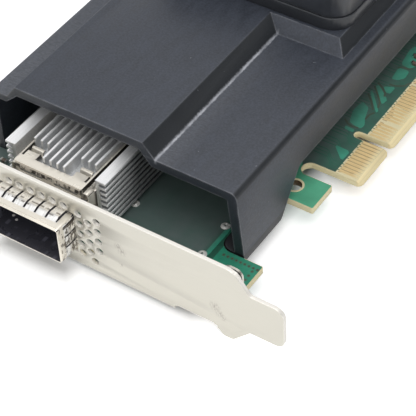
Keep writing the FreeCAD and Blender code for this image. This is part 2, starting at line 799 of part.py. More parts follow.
def chip_lid():
    rim = square(LID, SUBSTRATE_T, SUBSTRATE_T + 0.8, 1.5)
    return fused([rim, square(LID - 3, SUBSTRATE_T + 0.8, LID_TOP, 1.0)])


# Shroud
def shroud_outside():
    """Outer section across the card: flange, raised top, shelf and right wall."""
    return [
        (SHROUD_LEFT, WALL_TONGUE_Z),
        (SHROUD_LEFT, SHELF_Z, SHELF_R),
        (FLANGE_X, SHELF_Z, 0.5),
        (TOP_LEFT_X, SHROUD_TOP, 0.5),
        (TOP_RIGHT_X, SHROUD_TOP, 0.5),
        (CREASE_X, SHELF_Z, 0.5),
        (SHELF_RIGHT_X, SHELF_Z, SHELF_R),
        (WALL_FOOT_X, WALL_TONGUE_Z),
    ]


def shroud_inside():
    """Hollow of that section, open below, under a thinner flange and left wall."""
    slant = SHROUD_T * 0.42
    lean = (WALL_FOOT_X - SHELF_RIGHT_X) / (SHELF_Z - WALL_TONGUE_Z)
    wall = SHROUD_LEFT + LEFT_WALL_T
    below = 1.0
    return [
        (wall, WALL_TONGUE_Z - below),
        (wall, SHELF_Z - FLANGE_T, 0.3),
        (INNER_FLANGE_X, SHELF_Z - FLANGE_T, 0.5),
        (INNER_TOP_X, SHROUD_TOP - SHROUD_T, 0.5),
        (TOP_RIGHT_X - slant, SHROUD_TOP - SHROUD_T, 0.5),
        (CREASE_X - slant, SHELF_Z - SHROUD_T, 0.5),
        (SHELF_RIGHT_X - SHROUD_T, SHELF_Z - SHROUD_T, 0.4),
        (WALL_FOOT_X - SHROUD_T + lean * below, WALL_TONGUE_Z - below),
    ]


def platform(offset):
    """Raised fan seat with sloping front and right sides."""
    def level(shrink, z):
        corners = rectangle(
            TOP_LEFT_X + 3, PLATFORM_RIGHT - shrink, PLATFORM_FRONT + shrink, SHROUD_BACK - offset)
        return outline(corners, "xy", z)

    slant = offset * 0.45
    foot = level(slant - PLATFORM_SLOPE * 1.02, SHELF_Z - offset - 0.1)
    crown = level(slant, SHROUD_TOP - offset)
    return Part.makeLoft([foot, crown], True, True)


def duct_gap():
    """Space under the right wall: a ramp behind the front tongue, then a level lower edge."""
    ramp_end = DUCT_RAMP_Y + (DUCT_EDGE_Z - WALL_TONGUE_Z)
    section = [
        (SHROUD_FRONT - 1, -6),
        (SHROUD_FRONT - 1, WALL_TONGUE_Z),
        (DUCT_RAMP_Y, WALL_TONGUE_Z, 0.8),
        (ramp_end, DUCT_EDGE_Z, 2.5),
        (SHROUD_BACK + 1, DUCT_EDGE_Z),
        (SHROUD_BACK + 1, -6),
    ]
    return prism(section, "yz", NOTCH_X, 0)


def notch_foot():
    """Foot of the right wall that fills the front of the board's notch."""
    left = NOTCH_X + NOTCH_GAP
    right = WALL_FOOT_X - SHROUD_T / 2
    foot = [
        (left, SHROUD_FRONT, NOTCH_R - NOTCH_GAP),
        (right, SHROUD_FRONT),
        (right, DUCT_RAMP_Y),
        (left, DUCT_RAMP_Y, 1.0),
    ]
    return prism(foot, "xy", WALL_TONGUE_Z, NOTCH_FOOT_TOP)


def board_hook(y):
    """Hook that leaves the left wall, passes the board's edge and grips it from below."""
    outer = SHROUD_LEFT - HOOK_T
    root = SHROUD_LEFT + LEFT_WALL_T / 2
    inner = BOARD_LEFT + HOOK_REACH
    edge = BOARD_LEFT - 2 * SEAT_GAP
    under = -BOARD_T - SEAT_GAP
    section = [
        (root, HOOK_ROOT),
        (outer, HOOK_ROOT - HOOK_T, 0.4),
        (outer, under - HOOK_DROP, 0.4),
        (inner, under - HOOK_DROP * 0.6, 0.3),
        (inner, under),
        (edge, under),
        (edge, SEAT_GAP),
        (root, SEAT_GAP),
    ]
    return prism(section, "xz", y - HOOK_W / 2, y + HOOK_W / 2)


def shroud():
    outer = prism(shroud_outside(), "xz", SHROUD_FRONT, SHROUD_BACK)
    shell = fused([outer, platform(0)])
    hollow = prism(shroud_inside(), "xz", SHROUD_FRONT - 1, SHROUD_BACK - SHROUD_T)
    shell = shell.cut([hollow, platform(SHROUD_T)])
    under = box(SHROUD_LEFT - 1, NOTCH_X, SHROUD_FRONT - 1, SHROUD_BACK + 1, -10, SEAT_GAP)
    back_gap = box(SHROUD_LEFT - 1, 1, SHROUD_BACK - SHROUD_T - 1, SHROUD_BACK + 1, -10, 0.4)
    tools = [under, back_gap, duct_gap(), post(FAN_X, FAN_Y, SHELF_Z, SHROUD_TOP + 1, FAN_BORE_R - 0.7)]
    tools += [post(x, y, SHELF_Z, SHROUD_TOP + 1, M3_R + SCREW_GAP) for x, y in fan_corners()]
    return fused([shell.cut(tools), notch_foot()] + [board_hook(y) for y in HOOK_YS])


# Fan
def fan_corners():
    half = FAN_HOLE_PITCH / 2
    return [(FAN_X + dx, FAN_Y + dy) for dx in (-half, half) for dy in (-half, half)]


def fan_square(inset, low, high):
    half = FAN_SIZE / 2 - inset
    corners = rectangle(FAN_X - half, FAN_X + half, FAN_Y - half, FAN_Y + half, FAN_R - inset)
    return prism(corners, "xy", low, high)


def fan_frame():
    seam = FAN_Z + FAN_FLANGE
    low = seam - FAN_GROOVE_H
    levels = [(0, FAN_Z, low), (FAN_GROOVE_IN, low, seam), (FAN_INSET, seam, FAN_TOP)]
    body = fused([fan_square(*level) for level in levels])
    rim = Vector(FAN_X, FAN_Y, FAN_TOP - MOUTH_H)
    mouth = Part.makeCone(FAN_BORE_R, FAN_BORE_R + MOUTH_FLARE, MOUTH_H, rim, UP)
    lead_exit = box(FAN_X + 14, FAN_X + 18, FAN_Y + 18, FAN_Y + 30, FAN_Z + 0.6, FAN_Z + 2.6)
    tools = [post(FAN_X, FAN_Y, FAN_Z, FAN_TOP, FAN_BORE_R), mouth, lead_exit]
    tools += [post(x, y, FAN_Z, FAN_TOP, FAN_HOLE_R) for x, y in fan_corners()]
    body = body.cut(tools)
    low, high = FAN_Z + MOTOR_LIFT, MOTOR_BASE_TOP
    pieces = [body, post(FAN_X, FAN_Y, low, high, MOTOR_BASE_R)]
    for k in range(STRUTS):
        strut = box(MOTOR_BASE_R - 0.5, FAN_BORE_R + 0.6, -STRUT_W / 2, STRUT_W / 2, low, high)
        strut.rotate(Vector(), UP, 45 + k * 360 / STRUTS)
        strut.translate(Vector(FAN_X, FAN_Y, 0))
        pieces.append(strut)
    pieces.append(post(FAN_X, FAN_Y, high, TUBE_TOP, TUBE_R))
    bore = post(FAN_X, FAN_Y, high - SLEEVE_SINK, FAN_TOP, SLEEVE_R)
    return fused(pieces).cut(bore)


def blade_section(radius, chord, pitch):
    """Lens-shaped cambered section in the plane at one radius, as a closed wire."""
    slope = math.radians(pitch)
    middle_z = (HUB_BOTTOM + HUB_TOP) / 2 + 0.1

    def place(along, lift):
        tangent = along * math.cos(slope) - lift * math.sin(slope)
        height = along * math.sin(slope) + lift * math.cos(slope)
        return Vector(radius, tangent, middle_z + height)

    lead = place(chord / 2, 0)
    trail = place(-chord / 2, 0)
    upper = Part.Arc(lead, place(0, BLADE_CAMBER + BLADE_T / 2), trail)
    lower = Part.Arc(trail, place(0, BLADE_CAMBER - BLADE_T / 2), lead)
    return Part.Wire([upper.toShape(), lower.toShape()])


def blade():
    root = blade_section(HUB_R - 3.0, ROOT_CHORD, ROOT_PITCH)
    tip = blade_section(TIP_R + 0.5, TIP_CHORD, TIP_PITCH)
    body = Part.makeLoft([root, tip], True, True)
    sweep = post(0, 0, HUB_BOTTOM, HUB_TOP, TIP_R).cut(post(0, 0, HUB_BOTTOM, HUB_TOP, HUB_R - HUB_WALL / 2))
    return body.common(sweep)


def impeller():
    cup = post(0, 0, HUB_BOTTOM, HUB_TOP, HUB_R)
    edge = [e for e in cup.Edges if e.BoundBox.ZMin > HUB_TOP - 1e-3]
    cup = cup.makeChamfer(HUB_CHAMFER, edge)
    roof = HUB_TOP - HUB_ROOF
    cup = cup.cut(post(0, 0, HUB_BOTTOM, roof, HUB_R - HUB_WALL))
    boss = post(0, 0, roof - BOSS_H, roof, BOSS_R)
    pieces = [cup, boss]
    for k in range(BLADES):
        turned = blade()
        turned.rotate(Vector(), UP, k * 360 / BLADES)
        pieces.append(turned)
    rotor = fused(pieces).cut(post(0, 0, roof - BOSS_H - 0.1, roof + 0.2, SHAFT_R))
    rotor.translate(Vector(FAN_X, FAN_Y, 0))
    return rotor


YOKE_OUT = HUB_R - HUB_WALL
YOKE_IN = YOKE_OUT - 0.7
MAGNET_IN = YOKE_IN - 1.2
STATOR_R = MAGNET_IN - 0.35
STATOR_LOW = HUB_BOTTOM + 1.6
STATOR_HIGH = HUB_TOP - 4.6
TEETH = 4
TOOTH_W = 2.0
SHOE_W = 9.5
SHOE_T = 0.9
COIL_W = 3.6


def rotor_ring(outer, inner):
    return ring(FAN_X, FAN_Y, HUB_BOTTOM + 0.4, HUB_TOP - HUB_ROOF, outer, inner)


def fan_shaft():
    return post(FAN_X, FAN_Y, MOTOR_BASE_TOP - SLEEVE_SINK + 0.3, HUB_TOP - HUB_ROOF + 0.2, SHAFT_R)


def bearing_sleeve():
    low = MOTOR_BASE_TOP - SLEEVE_SINK
    return ring(FAN_X, FAN_Y, low, TUBE_TOP, SLEEVE_R, SHAFT_R + RUN_GAP)


def stator_tooth(k, inner, outer, width, low, high):
    tooth = box(inner, outer, -width / 2, width / 2, low, high)
    tooth.rotate(Vector(), UP, k * 360 / TEETH)
    return tooth


def stator_core():
    """Stack of four teeth with curved shoes, round the bearing tube."""
    low, high = STATOR_LOW + 0.6, STATOR_HIGH - 0.6
    shoe = ring(0, 0, low, high, STATOR_R, STATOR_R - SHOE_T)
    pieces = [ring(0, 0, low, high, TUBE_R + 1.2, TUBE_R + RUN_GAP)]
    for k in range(TEETH):
        pieces.append(stator_tooth(k, TUBE_R + 0.8, STATOR_R - SHOE_T / 2, TOOTH_W, low, high))
        pieces.append(shoe.common(stator_tooth(k, STATOR_R - 3, STATOR_R + 1, SHOE_W, low, high)))
    core = fused(pieces)
    core.translate(Vector(FAN_X, FAN_Y, 0))
    return core


def stator_coils():
    coils = []
    inner, outer = TUBE_R + 1.6, STATOR_R - SHOE_T - 0.35
    for k in range(TEETH):
        winding = stator_tooth(k, inner, outer, COIL_W, STATOR_LOW, STATOR_HIGH)
        tooth = stator_tooth(k, inner - 1, outer + 1, TOOTH_W + 0.04, STATOR_LOW + 0.58, STATOR_HIGH - 0.58)
        winding = winding.cut(tooth)
        winding.translate(Vector(FAN_X, FAN_Y, 0))
        coils.append(winding)
    return group(coils)


def fan_board():
    low = MOTOR_BASE_TOP
    return ring(FAN_X, FAN_Y, low, low + FAN_BOARD_T, FAN_BOARD_R, TUBE_R + RUN_GAP)


def fan_screws():
    end = SHROUD_TOP - SHROUD_T - FAN_NUT_H - 0.4
    return group([pan_screw(x, y, FAN_TOP, end, *FAN_HEAD, M3_R) for x, y in fan_corners()])


def fan_nuts():
    high = SHROUD_TOP - SHROUD_T
    low = high - FAN_NUT_H
    nuts = []
    for x, y in fan_corners():
        nut = prism(many_sided(x, y, FAN_NUT_R, 6), "xy", low, high)
        nuts.append(nut.cut(post(x, y, low, high, M3_R + SCREW_GAP)))
    return group(nuts)


# Small board components
def chip_block(x, y, size, floor=0.0):
    w, d, h = size
    return box(x - w / 2, x + w / 2, y - d / 2, y + d / 2, floor, floor + h)


def power_inductors():
    """Moulded power inductors with cut corners."""
    far, near = INDUCTOR_HALF, INDUCTOR_HALF - INDUCTOR_CUT
    eight = [(far, -near), (far, near), (near, far), (-near, far), (-far, near), (-far, -near), (-near, -far),
             (near, -far)]
    blocks = [prism([(x + u, INDUCTOR_Y + v) for u, v in eight], "xy", 0, INDUCTOR_H) for x in POWER_XS]
    return group(blocks)


def bulk_capacitors():
    return group([chip_block(x, BULK_Y, BULK) for x in BULK_XS])


def regulator_chips():
    return group([chip_block(x, REGULATOR_Y, REGULATOR) for x in POWER_XS])


def ceramic_capacitors_top():
    places = [(-68.4, 10.4), (-68.4, 12.2), (-66.9, 14.2), (-9.6, 87.4), (-8.7, 85.0)]
    places += [(-15.5, REGULATOR_Y + CERAMIC_STEP * k) for k in range(6)]
    places += [(-64.0, REGULATOR_Y + 1 + CERAMIC_STEP * k) for k in range(5)]
    return group([chip_block(x, y, CERAMIC) for x, y in places])


def ceramic_capacitors_bottom():
    """Rows of capacitors on the underside, behind the chip."""
    blocks = []
    for row in range(4):
        for column in range(5):
            x = CHIP_X + (column - 2) * 3.0
            y = CHIP_Y + (row - 1.5) * 3.2
            blocks.append(chip_block(x, y, CERAMIC, -BOARD_T - CERAMIC[2]))
    return group(blocks)


def status_lights():
    """Side-looking light on the underside, behind its hole in the bracket."""
    width, depth, height = LIGHT
    low = -BOARD_T - height
    bevel = 0.2
    section = [
        (BOARD_FRONT, low),
        (BOARD_FRONT, -BOARD_T - bevel),
        (BOARD_FRONT + bevel, -BOARD_T),
        (BOARD_FRONT + depth, -BOARD_T),
        (BOARD_FRONT + depth, low),
    ]
    return prism(section, "yz", LIGHT_HOLE_X - width / 2, LIGHT_HOLE_X + width / 2)


def build():
    return {
        "circuit_board": circuit_board(),
        "edge_contacts_top": edge_contacts(0, CONTACT_T, EMPTY_PINS),
        "edge_contacts_bottom": edge_contacts(-BOARD_T - CONTACT_T, -BOARD_T, ()),
        "board_eyelets": board_eyelets(),
        "bracket": bracket(),
        "bracket_nuts": bracket_nuts(),
        "bracket_screws": bracket_screws(),
        "port_cage": port_cage(),
        "spring_collar": spring_collar(),
        "port_connector": port_connector(),
        "connector_contacts": connector_contacts(),
        "riding_heatsink": riding_heatsink(),
        "heatsink_clip": heatsink_clip(),
        "main_heatsink": main_heatsink(),
        "heatsink_screws": heatsink_screws(),
        "chip_substrate": square(SUBSTRATE, 0, SUBSTRATE_T, 0.5),
        "chip_lid": chip_lid(),
        "thermal_pad": square(LID - 4, LID_TOP, SINK_BASE, 0.5),
        "shroud": shroud(),
        "fan_frame": fan_frame(),
        "fan_screws": fan_screws(),
        "fan_nuts": fan_nuts(),
        "fan_board": fan_board(),
        "bearing_sleeve": bearing_sleeve(),
        "stator_core": stator_core(),
        "stator_coils": stator_coils(),
        "impeller": impeller(),
        "rotor_yoke": rotor_ring(YOKE_OUT, YOKE_IN),
        "rotor_magnet": rotor_ring(YOKE_IN, MAGNET_IN),
        "fan_shaft": fan_shaft(),
        "power_inductors": power_inductors(),
        "bulk_capacitors": bulk_capacitors(),
        "regulator_chips": regulator_chips(),
        "memory_chip": chip_block(*MEMORY_PLACE, MEMORY),
        "clock_crystal": chip_block(*CRYSTAL_PLACE, CRYSTAL),
        "ceramic_capacitors_top": ceramic_capacitors_top(),
        "ceramic_capacitors_bottom": ceramic_capacitors_bottom(),
        "status_lights": status_lights(),
    }


os.makedirs("parts", exist_ok=True)
for name, shape in build().items():
    shape.exportStep(f"parts/{name}.step")
    print(name, "solids", len(shape.Solids), "valid", shape.isValid(), "volume", round(shape.Volume, 2))
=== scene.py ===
"""Looks of a network adapter card: board, bracket, cage port, heatsinks, shroud and fan.

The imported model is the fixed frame. Meshes and settings are metres in the model's own axes. The places
named below and the sums in the finishes are millimetres, and MM turns them into metres.
"""

import json
import math
import random
from functools import partialmethod

import bmesh
import bpy
from bpy.props import FloatProperty, FloatVectorProperty, IntProperty, PointerProperty
from mathutils import Matrix, Vector


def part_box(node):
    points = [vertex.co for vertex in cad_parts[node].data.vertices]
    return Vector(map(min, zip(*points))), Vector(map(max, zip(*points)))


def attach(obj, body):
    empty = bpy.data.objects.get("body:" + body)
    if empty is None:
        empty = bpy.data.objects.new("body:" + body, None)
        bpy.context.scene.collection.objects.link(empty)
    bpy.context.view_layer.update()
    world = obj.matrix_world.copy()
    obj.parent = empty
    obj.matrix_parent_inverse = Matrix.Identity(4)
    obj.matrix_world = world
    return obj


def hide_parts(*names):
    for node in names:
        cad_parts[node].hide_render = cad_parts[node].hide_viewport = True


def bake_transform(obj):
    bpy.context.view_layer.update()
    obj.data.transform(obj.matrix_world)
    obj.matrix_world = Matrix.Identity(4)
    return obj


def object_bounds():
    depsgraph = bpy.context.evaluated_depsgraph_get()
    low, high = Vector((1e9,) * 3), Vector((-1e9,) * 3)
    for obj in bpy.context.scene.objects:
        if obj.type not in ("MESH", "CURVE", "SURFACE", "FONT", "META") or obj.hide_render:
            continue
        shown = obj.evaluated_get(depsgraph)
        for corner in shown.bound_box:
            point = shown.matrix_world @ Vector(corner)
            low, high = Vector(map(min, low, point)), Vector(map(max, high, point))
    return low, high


bl_info = {
    "name": "Adapter Card Looks",
    "version": (1, 0, 0),
    "blender": (4, 5, 0),
    "location": "View3D > Sidebar > Adapter Card",
    "description": "Fine detail and finishes of a network adapter card",
    "category": "Object",
}

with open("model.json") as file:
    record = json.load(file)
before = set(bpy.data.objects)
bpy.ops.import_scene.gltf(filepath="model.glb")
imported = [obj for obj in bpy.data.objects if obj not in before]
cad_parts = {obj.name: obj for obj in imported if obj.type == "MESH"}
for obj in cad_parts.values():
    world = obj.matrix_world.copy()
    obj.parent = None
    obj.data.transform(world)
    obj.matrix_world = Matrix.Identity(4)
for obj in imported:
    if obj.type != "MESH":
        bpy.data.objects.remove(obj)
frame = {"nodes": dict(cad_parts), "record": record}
NODES = frame["nodes"]
CAD_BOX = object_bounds()
CARD = "card"
ROTOR = "rotor"
RIDER = "port_heatsink"
MM = 0.001

# Board, in millimetres; pairs for the dusty film, which is partly painted light and shade under the shroud,
# run from none to full
HOLE_RADIUS = 1.6
HOLE_REACH = 1.75  # laminate this near to the hole's middle is its barrel
CONTACT_PITCH = 1.0
WEAVE_PITCH = 0.42
FRONT_TAB_END = 22
TAB_MARGIN = 1.5
NOTCH_MIDDLE = (-12.5, 23.9)
NOTCH_REACH = (3.2, 9.1)
BOARD_MIDDLE = -0.5
OUTLET_DUST_X = (-16.2, -18.2)
OUTLET_DUST_FRONT = (5, 13)
OUTLET_DUST_BACK = (90, 55)
WALL_DUST_X = (-8.5, -13.5)
WALL_DUST_FRONT = (40, 46)
WALL_DUST_BACK = (125, 112)

# Bracket, in millimetres
BRACKET_SHEET = 0.86
# Corner of the seam behind the lug that gets painted shade
LUG_FOOT_X = -5.0
LUG_FOOT_Z = 9.4
BRACKET_SCUFFS = [  # x, z and reach
    (-28.9, 6.4, 1.2), (-28.2, 5.2, 1.3), (-28.7, 1.2, 0.7),
    (-6.3, 2.0, 1.5), (-5.2, 0.5, 1.2), (-4.4, -0.4, 0.8),
]

# Port, in millimetres; pairs are a middle and a reach
PORT_MIDDLE = -49.3
LEAF_ROW = (PORT_MIDDLE - 0.35, 8.3)
LEAF_FOOT = -3.4
LEAF_CREST = -1.9
# Bands of the cage given painted shade: under the leaves, and on its top behind the bracket
UNDER_LEAVES = (-1.5, 1.9)
BEHIND_BRACKET = (2.7, 2.3)
# The fold line on the sides gets painted shade
FOLD_LINE = (8.5, 0.35)
# White spots on the cage's floor, painted light, and their lift above it
CAGE_LIGHT_SPOTS = [(-56.58, 0.54), (-55.25, -0.18)]
LIGHT_SPOT_LIFT = 0.18
CAGE_PIN_ROWS = (8, 17, 26, 35, 44)
CAGE_PIN_INSET = 0.5
CLIP_FRONT = 4.5
# The clip's skirt gets a band of painted shade at CLIP_SLOTS, its side faces above CLIP_GAP get painted
# shade, and its tongue slots are painted dark as shade
CLIP_SLOTS = 11.1
CLIP_GAP = 10.4
TONGUE_FRONT = (8.7, 0.22)
TONGUE_SLOTS = [(-43.4, 1.45), (-55.3, 1.2)]

# Heatsink arms and shroud, in millimetres
ARM_TOP = 13.5
ARM_TIP = 12.7
ARM_FRONT = 7.2
# The shroud's crease, where a painted highlight and a painted sheen are laid
CREASE_X = -30.2
CREASE_Z = 16.6
CREASE_END = 63.5
CREASE_GLOW = (62, 18)


def tone(red, green, blue):
    """Linear colour of a display colour given from 0 to 255."""
    parts = [v / 255 for v in (red, green, blue)]
    return tuple(v / 12.92 if v <= 0.04045 else ((v + 0.055) / 1.055) ** 2.4 for v in parts)


def shade(base, share):
    """A colour made darker or lighter."""
    return tuple(v * share for v in base)


def in_mm(box):
    """Corners of a box in millimetres."""
    return [corner / MM for corner in box]


def metres(**sizes):
    """Named sizes given in millimetres."""
    return {label: value * MM for label, value in sizes.items()}


def mount(name):
    """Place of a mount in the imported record."""
    return next(Vector(m["pos_m"]) for m in frame["record"]["mounts"] if m["name"] == name)


# Colours of marks, and of painted shade, painted light and painted highlights
WHITE = (1, 1, 1)
GAP_BROWN = tone(164, 132, 84)
BARREL_SHADE = tone(92, 74, 48)
BEVEL_CREAM = tone(242, 222, 170)
NOTCH_SHADE = (0.012, 0.013, 0.012)
SCUFF_GREY = (0.24, 0.21, 0.19)
CUT_EDGE_HIGHLIGHT = (0.93, 0.90, 0.84)
SEAM_SHADE = (0.02, 0.02, 0.02)
RIM_HIGHLIGHT = (0.9, 0.87, 0.8)
LEAF_LIT = (0.97, 0.97, 0.96)
LEAF_DIM_HIGHLIGHT = (0.78, 0.78, 0.77)
LEAF_CREST_SHADE = (0.58, 0.56, 0.53)
LEAF_BACK_LIGHT = (0.95, 0.91, 0.84)
DASH_BROWN = (0.07, 0.05, 0.035)
FOLD_SHADE = (0.05, 0.035, 0.025)
SKIRT_TAN = (0.80, 0.73, 0.62)
SKIRT_SLOT_SHADE = (0.022, 0.016, 0.012)
SLIT_SHADE = (0.02, 0.016, 0.012)
FIN_SHADE_NEAR = (0.34, 0.34, 0.35)
FIN_SHADE_FAR = (0.11, 0.108, 0.122)
FIN_HIGHLIGHT = (0.97, 0.97, 0.97)
FIN_TIP_SHADE = (0.10, 0.10, 0.11)
FLANK_SHADE = (0.004, 0.006, 0.008)
FOOT_SHADE = (0.004, 0.004, 0.005)


# Settings
def length(name, millimetres, description):
    return FloatProperty(
        name=name, description=description, default=millimetres * MM, min=0, precision=5, unit="LENGTH")


def colour(name, value, description):
    return FloatVectorProperty(
        name=name, description=description, default=value, size=3, min=0, max=1, subtype="COLOR")


def amount(name, value, description, unit="NONE"):
    return FloatProperty(name=name, description=description, default=value, min=0, unit=unit)


class BoardSettings(bpy.types.PropertyGroup):
    mask_inset: length("Mask inset", 0.16, "Bare laminate between the board's outline and its mask")
    mask_height: length("Mask height", 0.03, "Thickness of the solder mask")
    copper_height: length("Copper height", 0.02, "How far covered copper lifts the mask")
    trace_width: length("Trace width", 0.2, "Width of a covered trace")
    via_radius: length("Via radius", 0.26, "Outer radius of a via's collar")
    tab_via_radius: length("Tab via radius", 0.36, "Outer radius of a via on the front tab")
    finger_gap: length("Finger gap", 0.45, "Bare laminate behind the contacts")
    tab_field: FloatProperty(
        name="Tab field", description="Where the copper of the tabs ends", default=-14.7 * MM, precision=5,
        unit="LENGTH")
    seed: IntProperty(name="Seed", description="Fixed seed of the trace pattern", default=7, min=0)
    mask_dark: colour("Mask", tone(46, 98, 81), "Mask over bare laminate")
    mask_light: colour("Mask over copper", tone(92, 178, 142), "Mask over the copper of the tabs")
    # Darker and more teal than the mask over the hole tab: partly its own tone, partly painted shade
    mask_front: colour("Mask on the front tab", tone(50, 136, 110), "Mask over the front tab")
    mask_field: colour("Mask over fields", tone(66, 160, 134), "Mask over the copper fields of the board")
    mask_trace: colour("Mask over traces", tone(52, 106, 88), "Mask over the traces")
    # Colour of the dusty film, which is partly dirt and partly painted light and shade in the shroud's
    # shadow
    dust_and_painted_light: colour("Dust", tone(101, 113, 112), "Dust on the mask under the shroud")
    laminate: colour("Laminate", tone(248, 236, 192), "Glass-fibre laminate at the cut edges")
    gold: colour("Gold", tone(246, 218, 160), "Plating of the contacts")


class MetalSettings(bpy.types.PropertyGroup):
    sheet_edge: length("Sheet edge", 0.1, "Rounding of the bracket's cut edges")
    spring_edge: length("Spring edge", 0.04, "Rounding of the thin port sheet")
    fin_edge: length("Fin edge", 0.06, "Rounding of the heatsink edges")
    bracket: colour("Bracket", tone(203, 200, 190), "Satin nickel of the bracket")
    cage: colour("Cage", tone(232, 226, 214), "Warm nickel of the port sheet")
    # Colour of the painted shade inside the cage
    cage_inside_shade: colour("Cage inside", (0.035, 0.035, 0.044), "Dark inside of the cage")
    aluminium: colour("Aluminium", tone(222, 223, 224), "Heatsink metal")
    zinc: colour("Zinc", tone(190, 191, 194), "Screws and nuts")


class PlasticSettings(bpy.types.PropertyGroup):
    shroud_edge: length("Shroud edge", 0.45, "Rounding of the shroud's edges")
    fan_edge: length("Fan edge", 0.35, "Rounding of the fan frame's edges")
    shroud: colour("Shroud", (0.029, 0.034, 0.046), "Charcoal shroud")
    # The worn colour also paints the highlights on the shroud's edges and crease and the sheen beside the
    # crease
    worn: colour("Worn shroud", (0.30, 0.31, 0.34), "Rubbed edges of the shroud")
    fan: colour("Fan", (0.029, 0.032, 0.038), "Black fan plastic")


class StageSettings(bpy.types.PropertyGroup):
    lens: amount("Lens", 141.76, "Focal length in millimetres", "CAMERA")
    floor: colour("Floor", (0.90, 0.90, 0.90), "Pale floor")
    floor_lift: amount("Floor lift", 0.5, "Light that whitens the seen floor")
    key_power: amount("Key light", 2.0, "Overhead soft light", "POWER")
    key_size: length("Key size", 620, "Side of the soft lights")
    front_power: amount("Front light", 0.9, "Low soft light", "POWER")
    sky: amount("Sky", 0.62, "Light of the open sides")
    sheen: amount("Sheen", 1.1, "Open sides as seen in polished faces")


# Node trees
class Value:
    """A value that runs through a node tree; sums of values read as plain sums, and a | b is the larger."""

    def __init__(self, graph, socket):
        self.graph = graph
        self.socket = socket

    def taken(self, operation, other=0.0):
        """The value after one step of arithmetic."""
        return self.graph.node("ShaderNodeMath", {0: self, 1: other}, operation=operation)

    def __rsub__(self, other):
        return self.graph.node("ShaderNodeMath", {0: other, 1: self}, operation="SUBTRACT")

    __add__ = partialmethod(taken, "ADD")
    __sub__ = partialmethod(taken, "SUBTRACT")
    __mul__ = partialmethod(taken, "MULTIPLY")
    __truediv__ = partialmethod(taken, "DIVIDE")
    __or__ = partialmethod(taken, "MAXIMUM")
    __lt__ = partialmethod(taken, "LESS_THAN")
    __gt__ = partialmethod(taken, "GREATER_THAN")
    __abs__ = partialmethod(taken, "ABSOLUTE")

    def span(self, low, high, start=0.0, end=1.0, ease="LINEAR"):
        """The value taken from low..high to start..end, held at both ends."""
        sockets = {"Value": self, "From Min": low, "From Max": high, "To Min": start, "To Max": end}
        return self.graph.node("ShaderNodeMapRange", sockets, interpolation_type=ease)

    def within(self, centre, reach):
        """One up to the reach from the centre, nought beyond it."""
        return abs(self - centre) < reach

    def near(self, centre, reach):
        """One at the centre, falling to nought at the reach."""
        return abs(self - centre).span(0.0, reach, 1.0, 0.0)


class Graph:
    """A node tree under construction."""

    def __init__(self, tree):
        self.tree = tree

    def fill(self, node, sockets):
        """Links values to the node's sockets and sets the other sockets."""
        for key, value in sockets.items():
            socket = node.inputs[key]
            if isinstance(value, Value):
                self.tree.links.new(value.socket, socket)
            elif socket.type == "RGBA":
                socket.default_value = (*value, 1)
            else:
                socket.default_value = value

    def node(self, kind, sockets=None, output=0, **settings):
        """One output of a new node."""
        made = self.tree.nodes.new(kind)
        for key, value in settings.items():
            setattr(made, key, value)
        self.fill(made, sockets or {})
        return Value(self, made.outputs[output])

    def agreement(self, first, second):
        """How far two directions agree, from -1 to 1."""
        return self.node("ShaderNodeVectorMath", {0: first, 1: second}, "Value", operation="DOT_PRODUCT")

    def seen_rays(self):
        """One for camera, glossy and transmission rays, which see the white ground."""
        path = self.tree.nodes.new("ShaderNodeLightPath").outputs
        camera, glossy, through = (
            Value(self, path["Is %s Ray" % kind]) for kind in ("Camera", "Glossy", "Transmission"))
        return camera | glossy | through


# Finishes
MIX_FIRST, MIX_SECOND, MIX_RESULT = 6, 7, 2  # colour sockets of the mix node
WAVE_RADIANS = 20  # phase of the wave texture over one unit


